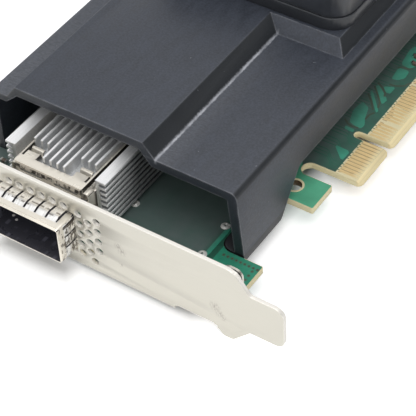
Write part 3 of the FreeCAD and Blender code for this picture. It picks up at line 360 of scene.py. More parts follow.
class Finish(Graph):
    """A material on the piece's own coordinates."""

    def __init__(self, base, metallic=0.0, roughness=0.5, **sockets):
        self.material = bpy.data.materials.new("finish")
        self.material.use_nodes = True
        super().__init__(self.material.node_tree)
        self.shader = self.tree.nodes["Principled BSDF"]
        self.base = base
        self.use(Base_Color=base, Metallic=metallic, Roughness=roughness, **sockets)
        self.place = self.node("ShaderNodeTexCoord", output="Object")

    def use(self, **sockets):
        """Sets or links sockets of the shader."""
        self.fill(self.shader, {key.replace("_", " "): value for key, value in sockets.items()})

    def stretched(self, stretch):
        return self.node("ShaderNodeMapping", {"Vector": self.place, "Scale": stretch})

    def parts(self, vector):
        """The three parts of a vector."""
        split = self.node("ShaderNodeSeparateXYZ", {"Vector": vector}).socket.node
        return [Value(self, socket) for socket in split.outputs]

    def axes(self):
        """Place on the piece in millimetres."""
        return self.parts(self.stretched((1 / MM, 1 / MM, 1 / MM)))

    def normal(self):
        return self.node("ShaderNodeNewGeometry", output="Normal")

    def noise(self, grain_mm, stretch=(1, 1, 1), detail=3.0, roughness=0.55):
        """Soft noise with a grain of that size."""
        sockets = {"Vector": self.stretched(stretch), "Scale": 1 / (grain_mm * MM), "Detail": detail,
                   "Roughness": roughness}
        return self.node("ShaderNodeTexNoise", sockets, "Fac")

    def bands(self, pitch_mm, axis, distortion=0.0):
        """Even bands across one axis."""
        scale = 2 * math.pi / (WAVE_RADIANS * pitch_mm * MM)
        sockets = {"Vector": self.place, "Scale": scale, "Distortion": distortion, "Detail": 1.0}
        return self.node("ShaderNodeTexWave", sockets, "Fac", bands_direction=axis)

    def weave(self, distortion):
        return self.bands(WEAVE_PITCH, "X", distortion) * self.bands(WEAVE_PITCH, "Y", distortion)

    def edges(self, radius_mm, start=0.02, end=0.25):
        """One along the sharp edges of the piece, nought on its flats."""
        rounded = self.node("ShaderNodeBevel", {"Radius": radius_mm * MM}, samples=6)
        return (1.0 - self.agreement(rounded, self.normal())).span(start, end)

    def mix(self, share, first, second):
        sockets = {0: share, MIX_FIRST: first, MIX_SECOND: second}
        return self.node("ShaderNodeMix", sockets, MIX_RESULT, data_type="RGBA")

    def clouded(self, share, low, high=1.0):
        """The base colour between a darker and a lighter share of it."""
        return self.mix(share, shade(self.base, low), shade(self.base, high))

    def coated(self, result, *coats):
        """A colour under further coats, each a share and a colour."""
        for share, over in coats:
            result = self.mix(share, result, over)
        return result

    def polish(self, value, low, high):
        """Roughness that follows a noise."""
        self.use(Roughness=value.span(0.25, 0.75, low, high))

    def relief(self, height, depth_mm):
        self.use(Normal=self.node("ShaderNodeBump", {"Height": height, "Distance": depth_mm * MM}))


# Grained finishes: swing of the roughness, relief in millimetres, broad grain, darkest share if plain
GLOSS_SWING = 0.08
GRAIN_DEPTH = 0.004
BROAD_GRAIN = 9
PLAIN_DARK = 0.78


def grained(base, dark=0.85, grain_mm=1.0, layer_mm=0.0, layer_depth=0.0, **sockets):
    """Finish with tone, gloss and relief that vary along one grain, or with layers as its relief."""
    made = Finish(base, **sockets)
    grain = made.noise(grain_mm)
    broad = made.noise(grain_mm * BROAD_GRAIN, detail=2.0)
    made.use(Base_Color=made.clouded(broad.span(0.35, 0.65), dark))
    made.polish(grain, sockets["roughness"] - GLOSS_SWING, sockets["roughness"] + GLOSS_SWING)
    if layer_mm:
        made.relief(made.bands(layer_mm, "Z"), layer_depth)
    else:
        made.relief(grain, GRAIN_DEPTH)
    return made


def laminate_finish():
    """Layered sheet, brown between the contacts, with painted shade on the hole's barrel and along the
    notch.
    """
    base = bpy.context.scene.card_board.laminate
    made = Finish(base, roughness=0.6)
    x, y, z = made.axes()
    dark = 0.80
    layered = made.clouded(made.bands(0.26, "Z", 0.4).span(0.0, 0.5), dark)
    dusty = made.noise(0.7, detail=4.0).span(0.35, 0.75, 0.0, 0.35)
    low, high = in_mm(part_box("edge_contacts_top"))
    step = ((y - (low.y - 0.15)) / CONTACT_PITCH).taken("FRACT")
    gaps = abs(step - 0.5).span(0.30, 0.36, 0.0, 0.7)
    row = x.span(low.x - 0.1, low.x) * x.span(high.x, high.x - 1.2)
    row = row * y.within((low.y + high.y) / 2, (high.y - low.y) / 2 + 0.3)
    flat = abs(made.parts(made.normal())[2]) > 0.9
    hole = mount("board_hole") / MM
    # Painted shade: the hole's barrel is coloured dark brown
    barrel = x.within(hole.x, HOLE_REACH) * y.within(hole.y, HOLE_REACH) * (z < -0.05)
    bevel = x.span(high.x - 0.1, high.x + 0.3, 0.0, 0.6)
    # Painted shade: the laminate along the notch is coloured near black and made rough
    notch = x.within(NOTCH_MIDDLE[0], NOTCH_REACH[0]) * y.within(NOTCH_MIDDLE[1], NOTCH_REACH[1])
    coats = ((dusty, shade(base, dark)), (gaps * row * flat, GAP_BROWN), (barrel, BARREL_SHADE),
             (bevel, BEVEL_CREAM), (notch, NOTCH_SHADE))
    made.use(Base_Color=made.coated(layered, *coats), Roughness=notch.span(0.0, 1.0, 0.62, 0.95))
    made.relief(made.weave(0.3), 0.006)
    return made


def mask_finish(base, low_share=0.86, high_share=1.08, wall_dust_and_painted_light=0.0):
    """Clouded solder mask with a dusty film before the outlet and, if asked for, along the shroud's wall;
    the film is partly dirt and partly painted light and shade of the shroud's shadow.
    """
    made = Finish(base, roughness=0.36, IOR=1.5)
    x, y, z = made.axes()
    toned = made.clouded(made.noise(5.0, detail=4.0).span(0.32, 0.68), low_share, high_share)
    patches = made.noise(3.0, detail=5.0)
    upper = z > BOARD_MIDDLE
    # The dusty film lightens the mask in the shroud's shade and dulls bright fields near its wall: partly
    # dirt, partly painted light and shade
    outlet = x.span(*OUTLET_DUST_X) * y.span(*OUTLET_DUST_FRONT) * y.span(*OUTLET_DUST_BACK)
    film = outlet * upper * patches.span(0.25, 0.75, 0.66, 0.92)
    if wall_dust_and_painted_light:
        wall = x.span(*WALL_DUST_X, 0.3 * wall_dust_and_painted_light, wall_dust_and_painted_light)
        wall = wall * y.span(*WALL_DUST_FRONT) * y.span(*WALL_DUST_BACK)
        film = film | wall * upper * patches.span(0.3, 0.7, 0.6, 1.2)
    made.use(Base_Color=made.mix(film, toned, bpy.context.scene.card_board.dust_and_painted_light))
    made.polish(made.noise(0.9), 0.28, 0.46)
    made.relief(made.weave(0.6) + made.noise(0.5), 0.006)
    return made


def gold_finish():
    """Plating with wipe marks, worn through at the outer ends."""
    settings = bpy.context.scene.card_board
    made = Finish(settings.gold, metallic=0.2, roughness=0.42)
    wipes = made.noise(0.12, (0.06, 1, 1), detail=4.0)
    wiped = made.clouded(wipes.span(0.35, 0.7), 0.86)
    end = in_mm(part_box("edge_contacts_top"))[1].x
    worn = made.axes()[0].span(end - 1.6, end, 0.0, 0.8)
    made.use(Base_Color=made.mix(worn, wiped, settings.laminate))
    made.polish(made.noise(2.0), 0.3, 0.5)
    made.relief(wipes, 0.004)
    return made


def bracket_finish():
    """Rolled nickel sheet with scuffs; its cut faces are bright, partly bare metal and partly painted
    highlight, painted highlights lie along its sharp edges, and painted shade marks the seam behind the
    lug.
    """
    made = Finish(bpy.context.scene.card_metal.bracket, roughness=0.36)
    x, y, z = made.axes()
    rolled = made.noise(0.35, (0.05, 1, 1), detail=4.0)
    toned = made.clouded(made.noise(14.0, detail=2.0).span(0.3, 0.7), 0.97)
    marks = made.noise(1.6, (1, 1, 1.6), detail=6.0, roughness=0.75).span(0.70, 0.76)
    rough = made.noise(0.34, (1, 1, 0.4), detail=3.0).span(0.45, 0.54)
    for mark_x, mark_z, reach in BRACKET_SCUFFS:
        marks = marks | x.near(mark_x, reach) * z.near(mark_z, reach) * rough
    # Bright cut faces, partly bare metal and partly painted highlight, and a painted highlight along the
    # sharp edges
    cut = (y > 0.05) * (y < BRACKET_SHEET - 0.04)
    bright = cut * 0.95 | made.edges(0.35) * 0.7
    # Painted shade: a dark band along the seam behind the lug
    seam = y.within(BRACKET_SHEET + 0.17, 0.13) * (x > LUG_FOOT_X) * (z > LUG_FOOT_Z)
    coats = ((marks * 0.8, SCUFF_GREY), (bright, CUT_EDGE_HIGHLIGHT), (seam, SEAM_SHADE))
    made.use(Base_Color=made.coated(toned, *coats), Metallic=cut.span(0.0, 1.0, 0.9, 0.15))
    made.polish(rolled, 0.30, 0.42)
    made.relief(rolled, 0.0025)
    return made


def port_sides(x):
    """One on the two sides of the port, nought between them."""
    low, high = in_mm(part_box("port_cage"))
    return abs(x - PORT_MIDDLE) > (high.x - low.x) / 2 - 0.05


def on_leaves(x):
    """One on the leaves of the collar, nought on its corner plates."""
    return x.within(*LEAF_ROW) | port_sides(x)


def rolled_sheet(made):
    return made.noise(0.4, (1, 0.03, 0.03), detail=3.0)


def leaf_marks(made):
    """Coats of the collar's leaves: a painted highlight on their fronts that turns to painted shade towards
    the crest, painted light on their backs, dark dashes, painted shade along a fold line on the sides, and
    where these dull the metal.
    """
    x, y, z = made.axes()
    leaf, sides = on_leaves(x), port_sides(x)
    # Painted highlight on the front of each leaf, with dimmer streaks, turning to painted shade towards the
    # crest
    slope_highlight = y.span(LEAF_FOOT, LEAF_FOOT + 0.15) * y.span(LEAF_CREST + 0.3, LEAF_CREST - 0.1) * leaf
    foot = made.mix(rolled_sheet(made).span(0.46, 0.6), LEAF_LIT, LEAF_DIM_HIGHLIGHT)
    rise = made.mix(y.span(LEAF_FOOT + 0.9, LEAF_CREST), foot, LEAF_CREST_SHADE)
    # Painted light on the back of each leaf
    back = y.span(LEAF_CREST, LEAF_CREST + 0.3) * leaf
    strokes = made.noise(1.0, (1, 0.2, 0.2), detail=1.0)
    before = y.near(LEAF_CREST - 0.35, 0.3) * strokes.span(0.48, 0.54)
    after = y.near(LEAF_CREST + 0.5, 0.35) * strokes.span(0.52, 0.46)
    aside = sides * made.noise(0.7, (0.03, 1, 0.5)).span(0.50, 0.58)
    dashes = (before | after | aside) * leaf * 0.85
    # Painted shade along the fold line on the sides
    fold = sides * z.within(*FOLD_LINE) * (y > LEAF_FOOT)
    coats = ((slope_highlight, rise), (back, LEAF_BACK_LIGHT), (dashes, DASH_BROWN), (fold * 0.9, FOLD_SHADE))
    return coats, slope_highlight | back | fold


def clip_marks(made):
    """Coats of the clip's tan skirt under a broken band of painted shade at its slots, with painted shade
    on its right-facing side faces and at its tongue slots, and where they dull the metal.
    """
    x, y, z = made.axes()
    skirt = y < CLIP_FRONT + 0.12
    broken = made.noise(1.6, (1, 0.1, 0.5), detail=4.0, roughness=0.7).span(0.44, 0.52)
    # Painted shade: a broken dark band over the skirt's slots
    band = z.near(CLIP_SLOTS, 0.75).span(0.2, 0.4) * broken
    # Painted shade on the side faces turned to +X and in front of the tongues
    slit_shade = made.parts(made.normal())[0].span(0.75, 0.9) * (z > CLIP_GAP)
    for slot in TONGUE_SLOTS:
        slit_shade = slit_shade | x.within(*slot) * y.within(*TONGUE_FRONT) * 0.9
    coats = ((skirt, made.mix(band * 0.94, SKIRT_TAN, SKIRT_SLOT_SHADE)), (slit_shade, SLIT_SHADE))
    return coats, skirt | slit_shade


def spring_steel(metallic, dull, marks):
    """Bright rolled sheet of the port under the marks of one piece, with a painted highlight along its
    sharp edges.
    """
    made = Finish(bpy.context.scene.card_metal.cage, metallic=metallic, roughness=0.24)
    cloud = made.noise(3.0)
    toned = made.clouded(cloud.span(0.3, 0.7), 0.95)
    coats, marked = marks(made)
    made.use(
        Base_Color=made.coated(toned, *coats, (made.edges(0.12) * 0.3, RIM_HIGHLIGHT)),
        Metallic=marked.span(0.0, 1.0, metallic, dull))
    made.polish(cloud, 0.2, 0.3)
    made.relief(rolled_sheet(made), 0.0006)
    return made


def cage_finish():
    """Sheet of the cage: bright outside, with painted shade and faint lighter patches inside it, under the
    leaves and on its top behind the bracket.
    """
    settings = bpy.context.scene.card_metal
    inner = settings.cage_inside_shade
    made = Finish(settings.cage, roughness=0.27)
    x, y, z = made.axes()
    cloud = made.noise(3.0)
    toned = made.clouded(cloud.span(0.3, 0.7), 0.9)
    low, high = in_mm(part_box("port_cage"))
    middle, half = (low + high) / 2, (high - low) / 2
    # Painted shade, with faint lighter patches, inside the cage, under the leaves and on its top behind the
    # bracket
    inside = x.within(middle.x, half.x - 0.1) * z.within(middle.z, half.z - 0.1) * (y > low.y + 0.05)
    covered = y.within(*UNDER_LEAVES) * on_leaves(x)
    roof_shade = y.within(*BEHIND_BRACKET) * (z > high.z - 0.1)
    dark = inside | covered | roof_shade * 0.85
    grid = made.bands(2.4, "X").span(0.7, 0.85) * made.bands(3.1, "Y").span(0.5, 0.7)
    inside_shade = made.mix(grid * made.noise(5.0).span(0.46, 0.6), inner, shade(inner, 2.6))
    # A painted highlight lies along the sharp edges
    coats = ((made.edges(0.12) * 0.5, RIM_HIGHLIGHT), (dark, inside_shade))
    made.use(Base_Color=made.coated(toned, *coats), Metallic=dark.span(0.0, 1.0, 0.9, 0.0))
    made.polish(cloud, 0.24, 0.34)
    return made


def aluminium_finish():
    """Drawn metal; painted shade between the fins of the arms grows darker further under the shroud, and
    painted highlights lie on their tips, tops and fronts.
    """
    metallic = 0.65
    made = Finish(bpy.context.scene.card_metal.aluminium, metallic=metallic, roughness=0.36)
    x, y, z = made.axes()
    drawn = made.noise(0.22, (1, 0.03, 0.03), detail=5.0)
    grit = drawn * made.noise(0.3, detail=2.0, roughness=0.7).span(0.3, 0.7, 0.6, 1.4)
    toned = made.clouded(grit.span(0.25, 0.7), 0.72)
    low, high = in_mm(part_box("port_cage"))
    aside = abs(x - (low.x + high.x) / 2)
    tops = z > ARM_TOP - 0.15
    tips = aside.within(ARM_TIP, 0.26)
    fronts = y.within(ARM_FRONT, 0.12)
    depth = y.span(ARM_FRONT + 1.5, ARM_FRONT + 11)
    # Painted shade between the fins, darker further under the shroud
    gap_shade = aside.within(ARM_TIP - 1.0, 0.85) * (1.0 - (tops | tips | fronts))
    # Painted highlights on the tips, tops and fronts of the fins; under the shroud the tips fade and take
    # painted shade
    bright = tips * depth.span(0.0, 1.0, 1.0, 0.25) | tops * 0.5
    bright = bright | fronts * aside.span(ARM_TIP - 1.8, ARM_TIP, 0.0, 0.7)
    coats = ((gap_shade * depth.span(0.0, 1.0, 0.6, 0.93), made.mix(depth, FIN_SHADE_NEAR, FIN_SHADE_FAR)),
             (bright, FIN_HIGHLIGHT), (tips * depth * 0.6, FIN_TIP_SHADE))
    made.use(Base_Color=made.coated(toned, *coats), Metallic=bright.span(0.0, 1.0, metallic, 0.3))
    made.polish(made.noise(4.0), 0.3, 0.44)
    made.relief(drawn, 0.001)
    return made


def shroud_finish():
    """Charcoal plastic in fine layers with pale specks; painted highlights, partly wear, lie along its
    edges, a painted highlight lies on the crease with a streaky painted sheen beside it, and painted shade
    darkens its right-facing faces, its front faces and its foot.
    """
    settings = bpy.context.scene.card_plastic
    worn = settings.worn
    made = Finish(settings.shroud, roughness=0.42, IOR=1.5)
    x, y, z = made.axes()
    layers = made.noise(0.32, (1, 0.012, 1), detail=3.0)
    mottle = made.noise(2.2, (1, 0.35, 1), detail=7.0, roughness=0.68)
    grain = made.noise(0.5, detail=2.0, roughness=0.75).span(0.36, 0.64)
    toned = made.clouded(mottle.span(0.3, 0.7) * 0.5 + grain * 0.5, 0.72, 1.68)
    # Painted highlight along the crease
    ragged = x + made.noise(0.5, detail=4.0).span(0.3, 0.7, -0.12, 0.12)
    crease = ragged.near(CREASE_X + 0.1, 0.5).span(0.2, 0.8) * z.near(CREASE_Z, 1.2)
    crease = crease * y.span(CREASE_END, CREASE_END - 4)
    crease_highlight = crease * made.noise(1.1, (1, 0.4, 1), detail=5.0).span(0.3, 0.62, 0.3, 1.0)
    # Painted sheen in streaky bands beside the crease
    glow = x.span(CREASE_X + 5.5, CREASE_X) * y.span(*CREASE_GLOW, 0.25, 1.0) * z.near(CREASE_Z, 0.5)
    sheen_streaks = glow * made.noise(0.45, (0.4, 1, 1), detail=5.0, roughness=0.7).span(0.3, 0.72, 0.15, 1.0)
    # Pale along the sharp edges, partly wear and partly painted highlight
    edges = made.edges(0.7, 0.01, 0.16) * made.noise(2.6).span(0.34, 0.6, 0.25, 1.0)
    specks = made.noise(0.9, detail=2.0).span(0.765, 0.79)
    # Painted shade on faces turned to the right and on front faces
    facing_x, facing_y, _ = made.parts(made.normal())
    flank_shade = facing_x.span(0.35, 0.6) * facing_x.span(0.985, 0.93)
    front = facing_y.span(-0.8, -0.95)
    # Coats: painted shade on right-facing and front faces, painted sheen, painted highlights on edges, pale
    # specks, painted highlight on the crease, painted shade at the foot
    coats = ((flank_shade * 0.85 | front * 0.42, FLANK_SHADE), (sheen_streaks * 0.3, worn), (edges * 0.55, worn),
             (specks * 0.6, worn), (crease_highlight * 0.95, shade(worn, 1.5)),
             (z.span(0.4, 0.2, 0.0, 0.85), FOOT_SHADE))
    made.use(Base_Color=made.coated(toned, *coats))
    made.polish(mottle, 0.42, 0.58)
    made.relief(layers + mottle * 0.5, 0.02)
    return made


def fan_finish():
    """Smooth black plastic, darker towards the foot of the frame."""
    base = bpy.context.scene.card_plastic.fan
    made = Finish(base, roughness=0.3, IOR=1.5)
    toned = made.clouded(made.noise(6.0).span(0.3, 0.7), 1.0, 1.8)
    low = in_mm(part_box("fan_frame"))[0].z
    foot = made.axes()[2].span(low + 4.5, low + 2.5, 0.0, 0.6)
    made.use(Base_Color=made.mix(foot, toned, shade(base, 0.35)))
    made.polish(made.noise(3.0), 0.33, 0.36)
    made.relief(made.noise(2.0), 0.002)
    return made


# Plain finishes: colour, metallic, roughness, grain in millimetres
PLAIN = {
    "tin": (tone(206, 206, 202), 1.0, 0.28, 0.5),
    "connector_plastic": ((0.012, 0.012, 0.013), 0.0, 0.45, 0.5),
    "substrate": (tone(38, 92, 62), 0.0, 0.45, 0.8),
    "lid_nickel": (tone(190, 188, 184), 1.0, 0.42, 0.5),
    "pad": (tone(150, 152, 156), 0.0, 0.85, 0.4),
    "fan_laminate": (tone(44, 104, 70), 0.0, 0.4, 0.8),
    "bronze": (tone(172, 128, 80), 1.0, 0.45, 0.3),
    "yoke_steel": (tone(150, 150, 152), 1.0, 0.4, 0.5),
    "magnet": ((0.03, 0.03, 0.032), 0.3, 0.6, 0.3),
    "shaft_steel": (tone(214, 214, 216), 1.0, 0.14, 0.3),
    "inductor": (tone(98, 98, 100), 0.1, 0.7, 0.25),
    "capacitor_black": ((0.018, 0.018, 0.020), 0.0, 0.42, 0.4),
    "package_black": ((0.016, 0.016, 0.017), 0.0, 0.5, 0.3),
    "ceramic": (tone(104, 92, 80), 0.0, 0.4, 0.3),
    "mark": (tone(232, 228, 222), 0.0, 0.55, 0.3),
    "well": (tone(74, 80, 70), 0.2, 0.5, 0.2),
    "via_tan": (tone(92, 112, 92), 0.2, 0.42, 0.3),
    "solder": (tone(226, 226, 222), 0.15, 0.3, 0.4),
    "olive": (tone(80, 92, 78), 0.0, 0.42, 0.3),
}
# Solder masks, coloured by the board setting of their name: darkest share, lightest share, share of the
# dusty film along the wall, which is partly painted light and shade
MASKS = {
    "mask_dark": (0.66, 1.2, 0.8),
    "mask_light": (),
    "mask_front": (0.8, 1.25),
    "mask_field": (0.68, 1.1, 0.4),
    "mask_trace": (),
}
SPECIAL = {
    "laminate": laminate_finish,
    "gold": gold_finish,
    "bracket_steel": bracket_finish,
    "cage_body": cage_finish,
    "cage_steel": lambda: spring_steel(metallic=0.4, dull=0.0, marks=clip_marks),
    "collar_steel": lambda: spring_steel(metallic=0.25, dull=0.35, marks=leaf_marks),
    "heatsink_aluminium": aluminium_finish,
    "shroud_plastic": shroud_finish,
    "fan_plastic": fan_finish,
    "lamination": lambda: grained(
        (0.30, 0.30, 0.31), layer_mm=0.35, layer_depth=0.03, metallic=0.9, roughness=0.5),
    "copper": lambda: grained(
        tone(178, 96, 48), layer_mm=0.18, layer_depth=0.05, metallic=0.8, roughness=0.34),
    "fastener_steel": lambda: grained(
        bpy.context.scene.card_metal.zinc, 0.8, 0.4, metallic=1.0, roughness=0.3),
    "lens": lambda: grained(tone(222, 224, 208), roughness=0.2, Transmission_Weight=0.6, IOR=1.5),
}
MATERIALS = {}


def new_finish(name):
    if name in MASKS:
        return mask_finish(getattr(bpy.context.scene.card_board, name), *MASKS[name])
    if name in PLAIN:
        base, metallic, roughness, grain = PLAIN[name]
        return grained(base, PLAIN_DARK, grain, metallic=metallic, roughness=roughness)
    return SPECIAL[name]()


def material(name):
    """The material of that name, made on its first use."""
    if name not in MATERIALS:
        MATERIALS[name] = new_finish(name).material
        MATERIALS[name].name = name
    return MATERIALS[name]


# Mesh helpers
WELD_GAP = 2e-6
LEVEL_GAP = 5e-6
CUT_GAP = 1e-7
FLAT_ANGLE = math.radians(0.4)


def placed(name, data):
    """New object in the scene."""
    made = bpy.data.objects.new(name, data)
    bpy.context.scene.collection.objects.link(made)
    return made


def piece(name, mesh, look, body, slot, *stands_for):
    """Finished object of a mesh, riding on a body if one is given."""
    made = placed(name, mesh)
    mesh.materials.clear()
    mesh.materials.append(material(look))
    if body:
        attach(made, body)
    if stands_for:
        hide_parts(*stands_for)
    return made


def merged(node):
    """Copy of a CAD node's mesh with its loose triangles joined."""
    shape = bmesh.new()
    shape.from_mesh(NODES[node].data)
    bmesh.ops.remove_doubles(shape, verts=shape.verts, dist=WELD_GAP)
    return shape


def evaluated(holder):
    """Plain mesh of an object with its modifiers, which is then removed."""
    graph = bpy.context.evaluated_depsgraph_get()
    mesh = bpy.data.meshes.new_from_object(holder.evaluated_get(graph))
    old = holder.data
    bpy.data.objects.remove(holder)
    bpy.data.meshes.remove(old)
    return mesh


def holder_of(shape, name):
    """Object that holds a shape while modifiers work on it."""
    mesh = bpy.data.meshes.new(name)
    shape.to_mesh(mesh)
    shape.free()
    return placed(name + "_source", mesh)


def softened(node, look, edge, slot=None, body=CARD, angle=32, segments=2):
    """Piece that stands for a CAD node, with rounded edges; its slot argument is not used."""
    shape = merged(node)
    bmesh.ops.dissolve_limit(shape, angle_limit=FLAT_ANGLE, verts=shape.verts, edges=shape.edges)
    made = holder_of(shape, node)
    for face in made.data.polygons:
        face.use_smooth = True
    bevel = made.modifiers.new("Edge", "BEVEL")
    bevel.width = edge
    bevel.segments = segments
    bevel.limit_method = "ANGLE"
    bevel.angle_limit = math.radians(angle)
    bevel.harden_normals = True
    return piece("soft_" + node, evaluated(made), look, body, slot or look, node)


def dressed(node, look):
    """CAD node that keeps its own mesh."""
    slots = NODES[node].data.materials
    slots.clear()
    slots.append(material(look))


def islands(node):
    """Lowest and highest corner of each separate solid in a CAD node."""
    shape = merged(node)
    seen, boxes = set(), []
    for start in shape.verts:
        if start in seen:
            continue
        stack, points = [start], []
        seen.add(start)
        while stack:
            vert = stack.pop()
            points.append(vert.co.copy())
            for edge in vert.link_edges:
                other = edge.other_vert(vert)
                if other not in seen:
                    seen.add(other)
                    stack.append(other)
        low = Vector([min(p[i] for p in points) for i in range(3)])
        high = Vector([max(p[i] for p in points) for i in range(3)])
        boxes.append((low, high))
    shape.free()
    return sorted(boxes, key=lambda b: (round(b[0].y, 5), round(b[0].x, 5)))


# Geometry Nodes
class Tree(Graph):
    """A geometry tree with named inputs for its sizes."""

    def __init__(self, name, **sizes):
        super().__init__(bpy.data.node_groups.new(name, "GeometryNodeTree"))
        face = self.tree.interface
        face.new_socket("Geometry", in_out="INPUT", socket_type="NodeSocketGeometry")
        face.new_socket("Geometry", in_out="OUTPUT", socket_type="NodeSocketGeometry")
        self.keys = {}
        for label, value in sizes.items():
            kind = "NodeSocketInt" if isinstance(value, int) else "NodeSocketFloat"
            socket = face.new_socket(label.replace("_", " "), in_out="INPUT", socket_type=kind)
            socket.default_value = value
            self.keys[label] = socket.identifier
        socket = face.new_socket("Material", in_out="INPUT", socket_type="NodeSocketMaterial")
        self.keys["Material"] = socket.identifier
        self.inlet = self.tree.nodes.new("NodeGroupInput")
        self.outlet = self.tree.nodes.new("NodeGroupOutput")

    def size(self, label):
        return Value(self, self.inlet.outputs[label.replace("_", " ")])

    def vector(self, x=0.0, y=0.0, z=0.0):
        return self.node("ShaderNodeCombineXYZ", {"X": x, "Y": y, "Z": z})

    def moved(self, geometry, **offset):
        sockets = {"Geometry": geometry, "Translation": self.vector(**offset)}
        return self.node("GeometryNodeTransform", sockets)

    def cube(self, x, y, z):
        return self.node("GeometryNodeMeshCube", {"Size": self.vector(x, y, z)})

    def cylinder(self, sides, radius, depth):
        return self.node("GeometryNodeMeshCylinder", {"Vertices": sides, "Radius": radius, "Depth": depth})

    def cone(self, sides, bottom, top, depth):
        sockets = {"Vertices": sides, "Radius Bottom": bottom, "Radius Top": top, "Depth": depth}
        return self.node("GeometryNodeMeshCone", sockets)

    def swept(self, curve):
        """A flat bar of the tree's width and height along a curve."""
        sockets = {"Width": self.size("Width"), "Height": self.size("Height")}
        profile = self.node("GeometryNodeCurvePrimitiveQuadrilateral", sockets)
        sockets = {"Curve": curve, "Profile Curve": profile, "Fill Caps": True}
        return self.node("GeometryNodeCurveToMesh", sockets)

    def joined(self, *parts):
        whole = self.node("GeometryNodeJoinGeometry")
        for part in reversed(parts):
            self.fill(whole.socket.node, {0: part})
        return whole

    def on_points(self, shape):
        """The shape at each given point, turned by the point's own angle."""
        kind = "GeometryNodeInputNamedAttribute"
        turn = self.node(kind, {"Name": "turn"}, "Attribute", data_type="FLOAT")
        sockets = {"Points": self.size("Geometry"), "Instance": shape, "Rotation": self.vector(z=turn)}
        return self.node("GeometryNodeInstanceOnPoints", sockets)

    def close(self, geometry):
        """Ends the tree: real meshes with the one material."""
        real = self.node("GeometryNodeRealizeInstances", {"Geometry": geometry})
        flat = self.node("GeometryNodeSetShadeSmooth", {"Geometry": real, "Shade Smooth": False})
        sockets = {"Geometry": flat, "Material": self.size("Material")}
        self.fill(self.outlet, {0: self.node("GeometryNodeSetMaterial", sockets)})
        return self

    def grow(self, name, points, look, slot, edges=(), turns=None, stands_for=(), **sizes):
        """Runs the tree on points or polylines and keeps the plain mesh as a piece of the card."""
        mesh = bpy.data.meshes.new(name)
        mesh.from_pydata([tuple(p) for p in points], list(edges), [])
        spin = mesh.attributes.new("turn", "FLOAT", "POINT")
        spin.data.foreach_set("value", turns or [0.0] * len(points))
        made = placed(name + "_source", mesh)
        grown = made.modifiers.new("Tree", "NODES")
        grown.node_group = self.tree
        for label, value in sizes.items():
            grown[self.keys[label]] = value
        grown[self.keys["Material"]] = material(look)
        result = evaluated(made)
        if not result.polygons:
            raise RuntimeError(name + " came out empty")
        return piece(name, result, look, CARD, slot, *stands_for)


def collar_tree():
    """Flat ring: a rectangle swept round a circle."""
    tree = Tree("collars", Radius=MM, Width=0.2 * MM, Height=0.05 * MM, Sides=12)
    middle = tree.size("Radius") - tree.size("Width") * 0.5
    sockets = {"Resolution": tree.size("Sides"), "Radius": middle}
    ring = tree.swept(tree.node("GeometryNodeCurvePrimitiveCircle", sockets))
    return tree.close(tree.on_points(tree.moved(ring, z=tree.size("Height") * 0.5)))


def dot_tree():
    """Low round button with a tapered rim, up from its point."""
    tree = Tree("dots", Radius=MM, Height=0.1 * MM, Crown=0.7, Sides=12)
    radius = tree.size("Radius")
    button = tree.cone(tree.size("Sides"), radius, radius * tree.size("Crown"), tree.size("Height"))
    return tree.close(tree.on_points(button))


def ribbon_tree():
    """Flat ribbon along a polyline, with eased corners."""
    tree = Tree("ribbons", Width=0.2 * MM, Height=0.03 * MM, Ease=0.5 * MM)
    line = tree.node("GeometryNodeMeshToCurve", {"Mesh": tree.size("Geometry")})
    sockets = {"Curve": line, "Radius": tree.size("Ease"), "Limit Radius": True}
    return tree.close(tree.swept(tree.node("GeometryNodeFilletCurve", sockets)))


# Screws: shares of the head's height and radius; steps are bottom, top, radius below and radius above
HEAD_SIDES = 40
SHANK_SIDES = 28
HEAD_RIM = 0.55
HEAD_STEPS = ((0.55, 0.82, 1.0, 0.9), (0.82, 1.0, 0.9, 0.66))
CROSS_LENGTH = 1.1
CROSS_WIDTH = 0.28
HEAD_WELD = 1e-6


def screw_tree():
    """Pan-head screw with a cross recess; its seat is at the point and its head stands along +Z or -Z."""
    tree = Tree(
        "screws", Head_Radius=2 * MM, Head_Height=1.5 * MM, Shank_Radius=MM, Shank_Length=4 * MM, Side=1.0)
    radius, height = tree.size("Head_Radius"), tree.size("Head_Height")
    rim = height * HEAD_RIM
    parts = [tree.moved(tree.cylinder(HEAD_SIDES, radius, rim), z=rim * 0.5)]
    for bottom, top, wide, narrow in HEAD_STEPS:
        step = tree.cone(HEAD_SIDES, radius * wide, radius * narrow, height * (top - bottom))
        parts.append(tree.moved(step, z=height * bottom))
    sockets = {"Geometry": tree.joined(*parts), "Distance": HEAD_WELD}
    head = tree.node("GeometryNodeMergeByDistance", sockets)
    crossed = tree.node("GeometryNodeMeshBoolean", {0: head}, operation="DIFFERENCE", solver="EXACT")
    arm, slim = radius * CROSS_LENGTH, radius * CROSS_WIDTH
    for x, y in ((arm, slim), (slim, arm)):
        tree.fill(crossed.socket.node, {1: tree.moved(tree.cube(x, y, height), z=height)})
    depth = tree.size("Shank_Length")
    shank = tree.moved(tree.cylinder(SHANK_SIDES, tree.size("Shank_Radius"), depth), z=depth * -0.5)
    flip = (1.0 - tree.size("Side")) * (math.pi / 2)
    sockets = {"Geometry": tree.joined(crossed, shank), "Rotation": tree.vector(x=flip)}
    return tree.close(tree.on_points(tree.node("GeometryNodeTransform", sockets)))


def block_tree():
    """Pair of blocks set apart along X about each point, for the ends and feet of small parts."""
    tree = Tree("blocks", Size_X=MM, Size_Y=MM, Size_Z=MM, Apart=0.0)
    half = tree.size("Apart") * 0.5
    block = tree.cube(tree.size("Size_X"), tree.size("Size_Y"), tree.size("Size_Z"))
    pair = tree.joined(tree.moved(block, x=half), tree.moved(block, x=half * -1.0))
    return tree.close(tree.on_points(pair))


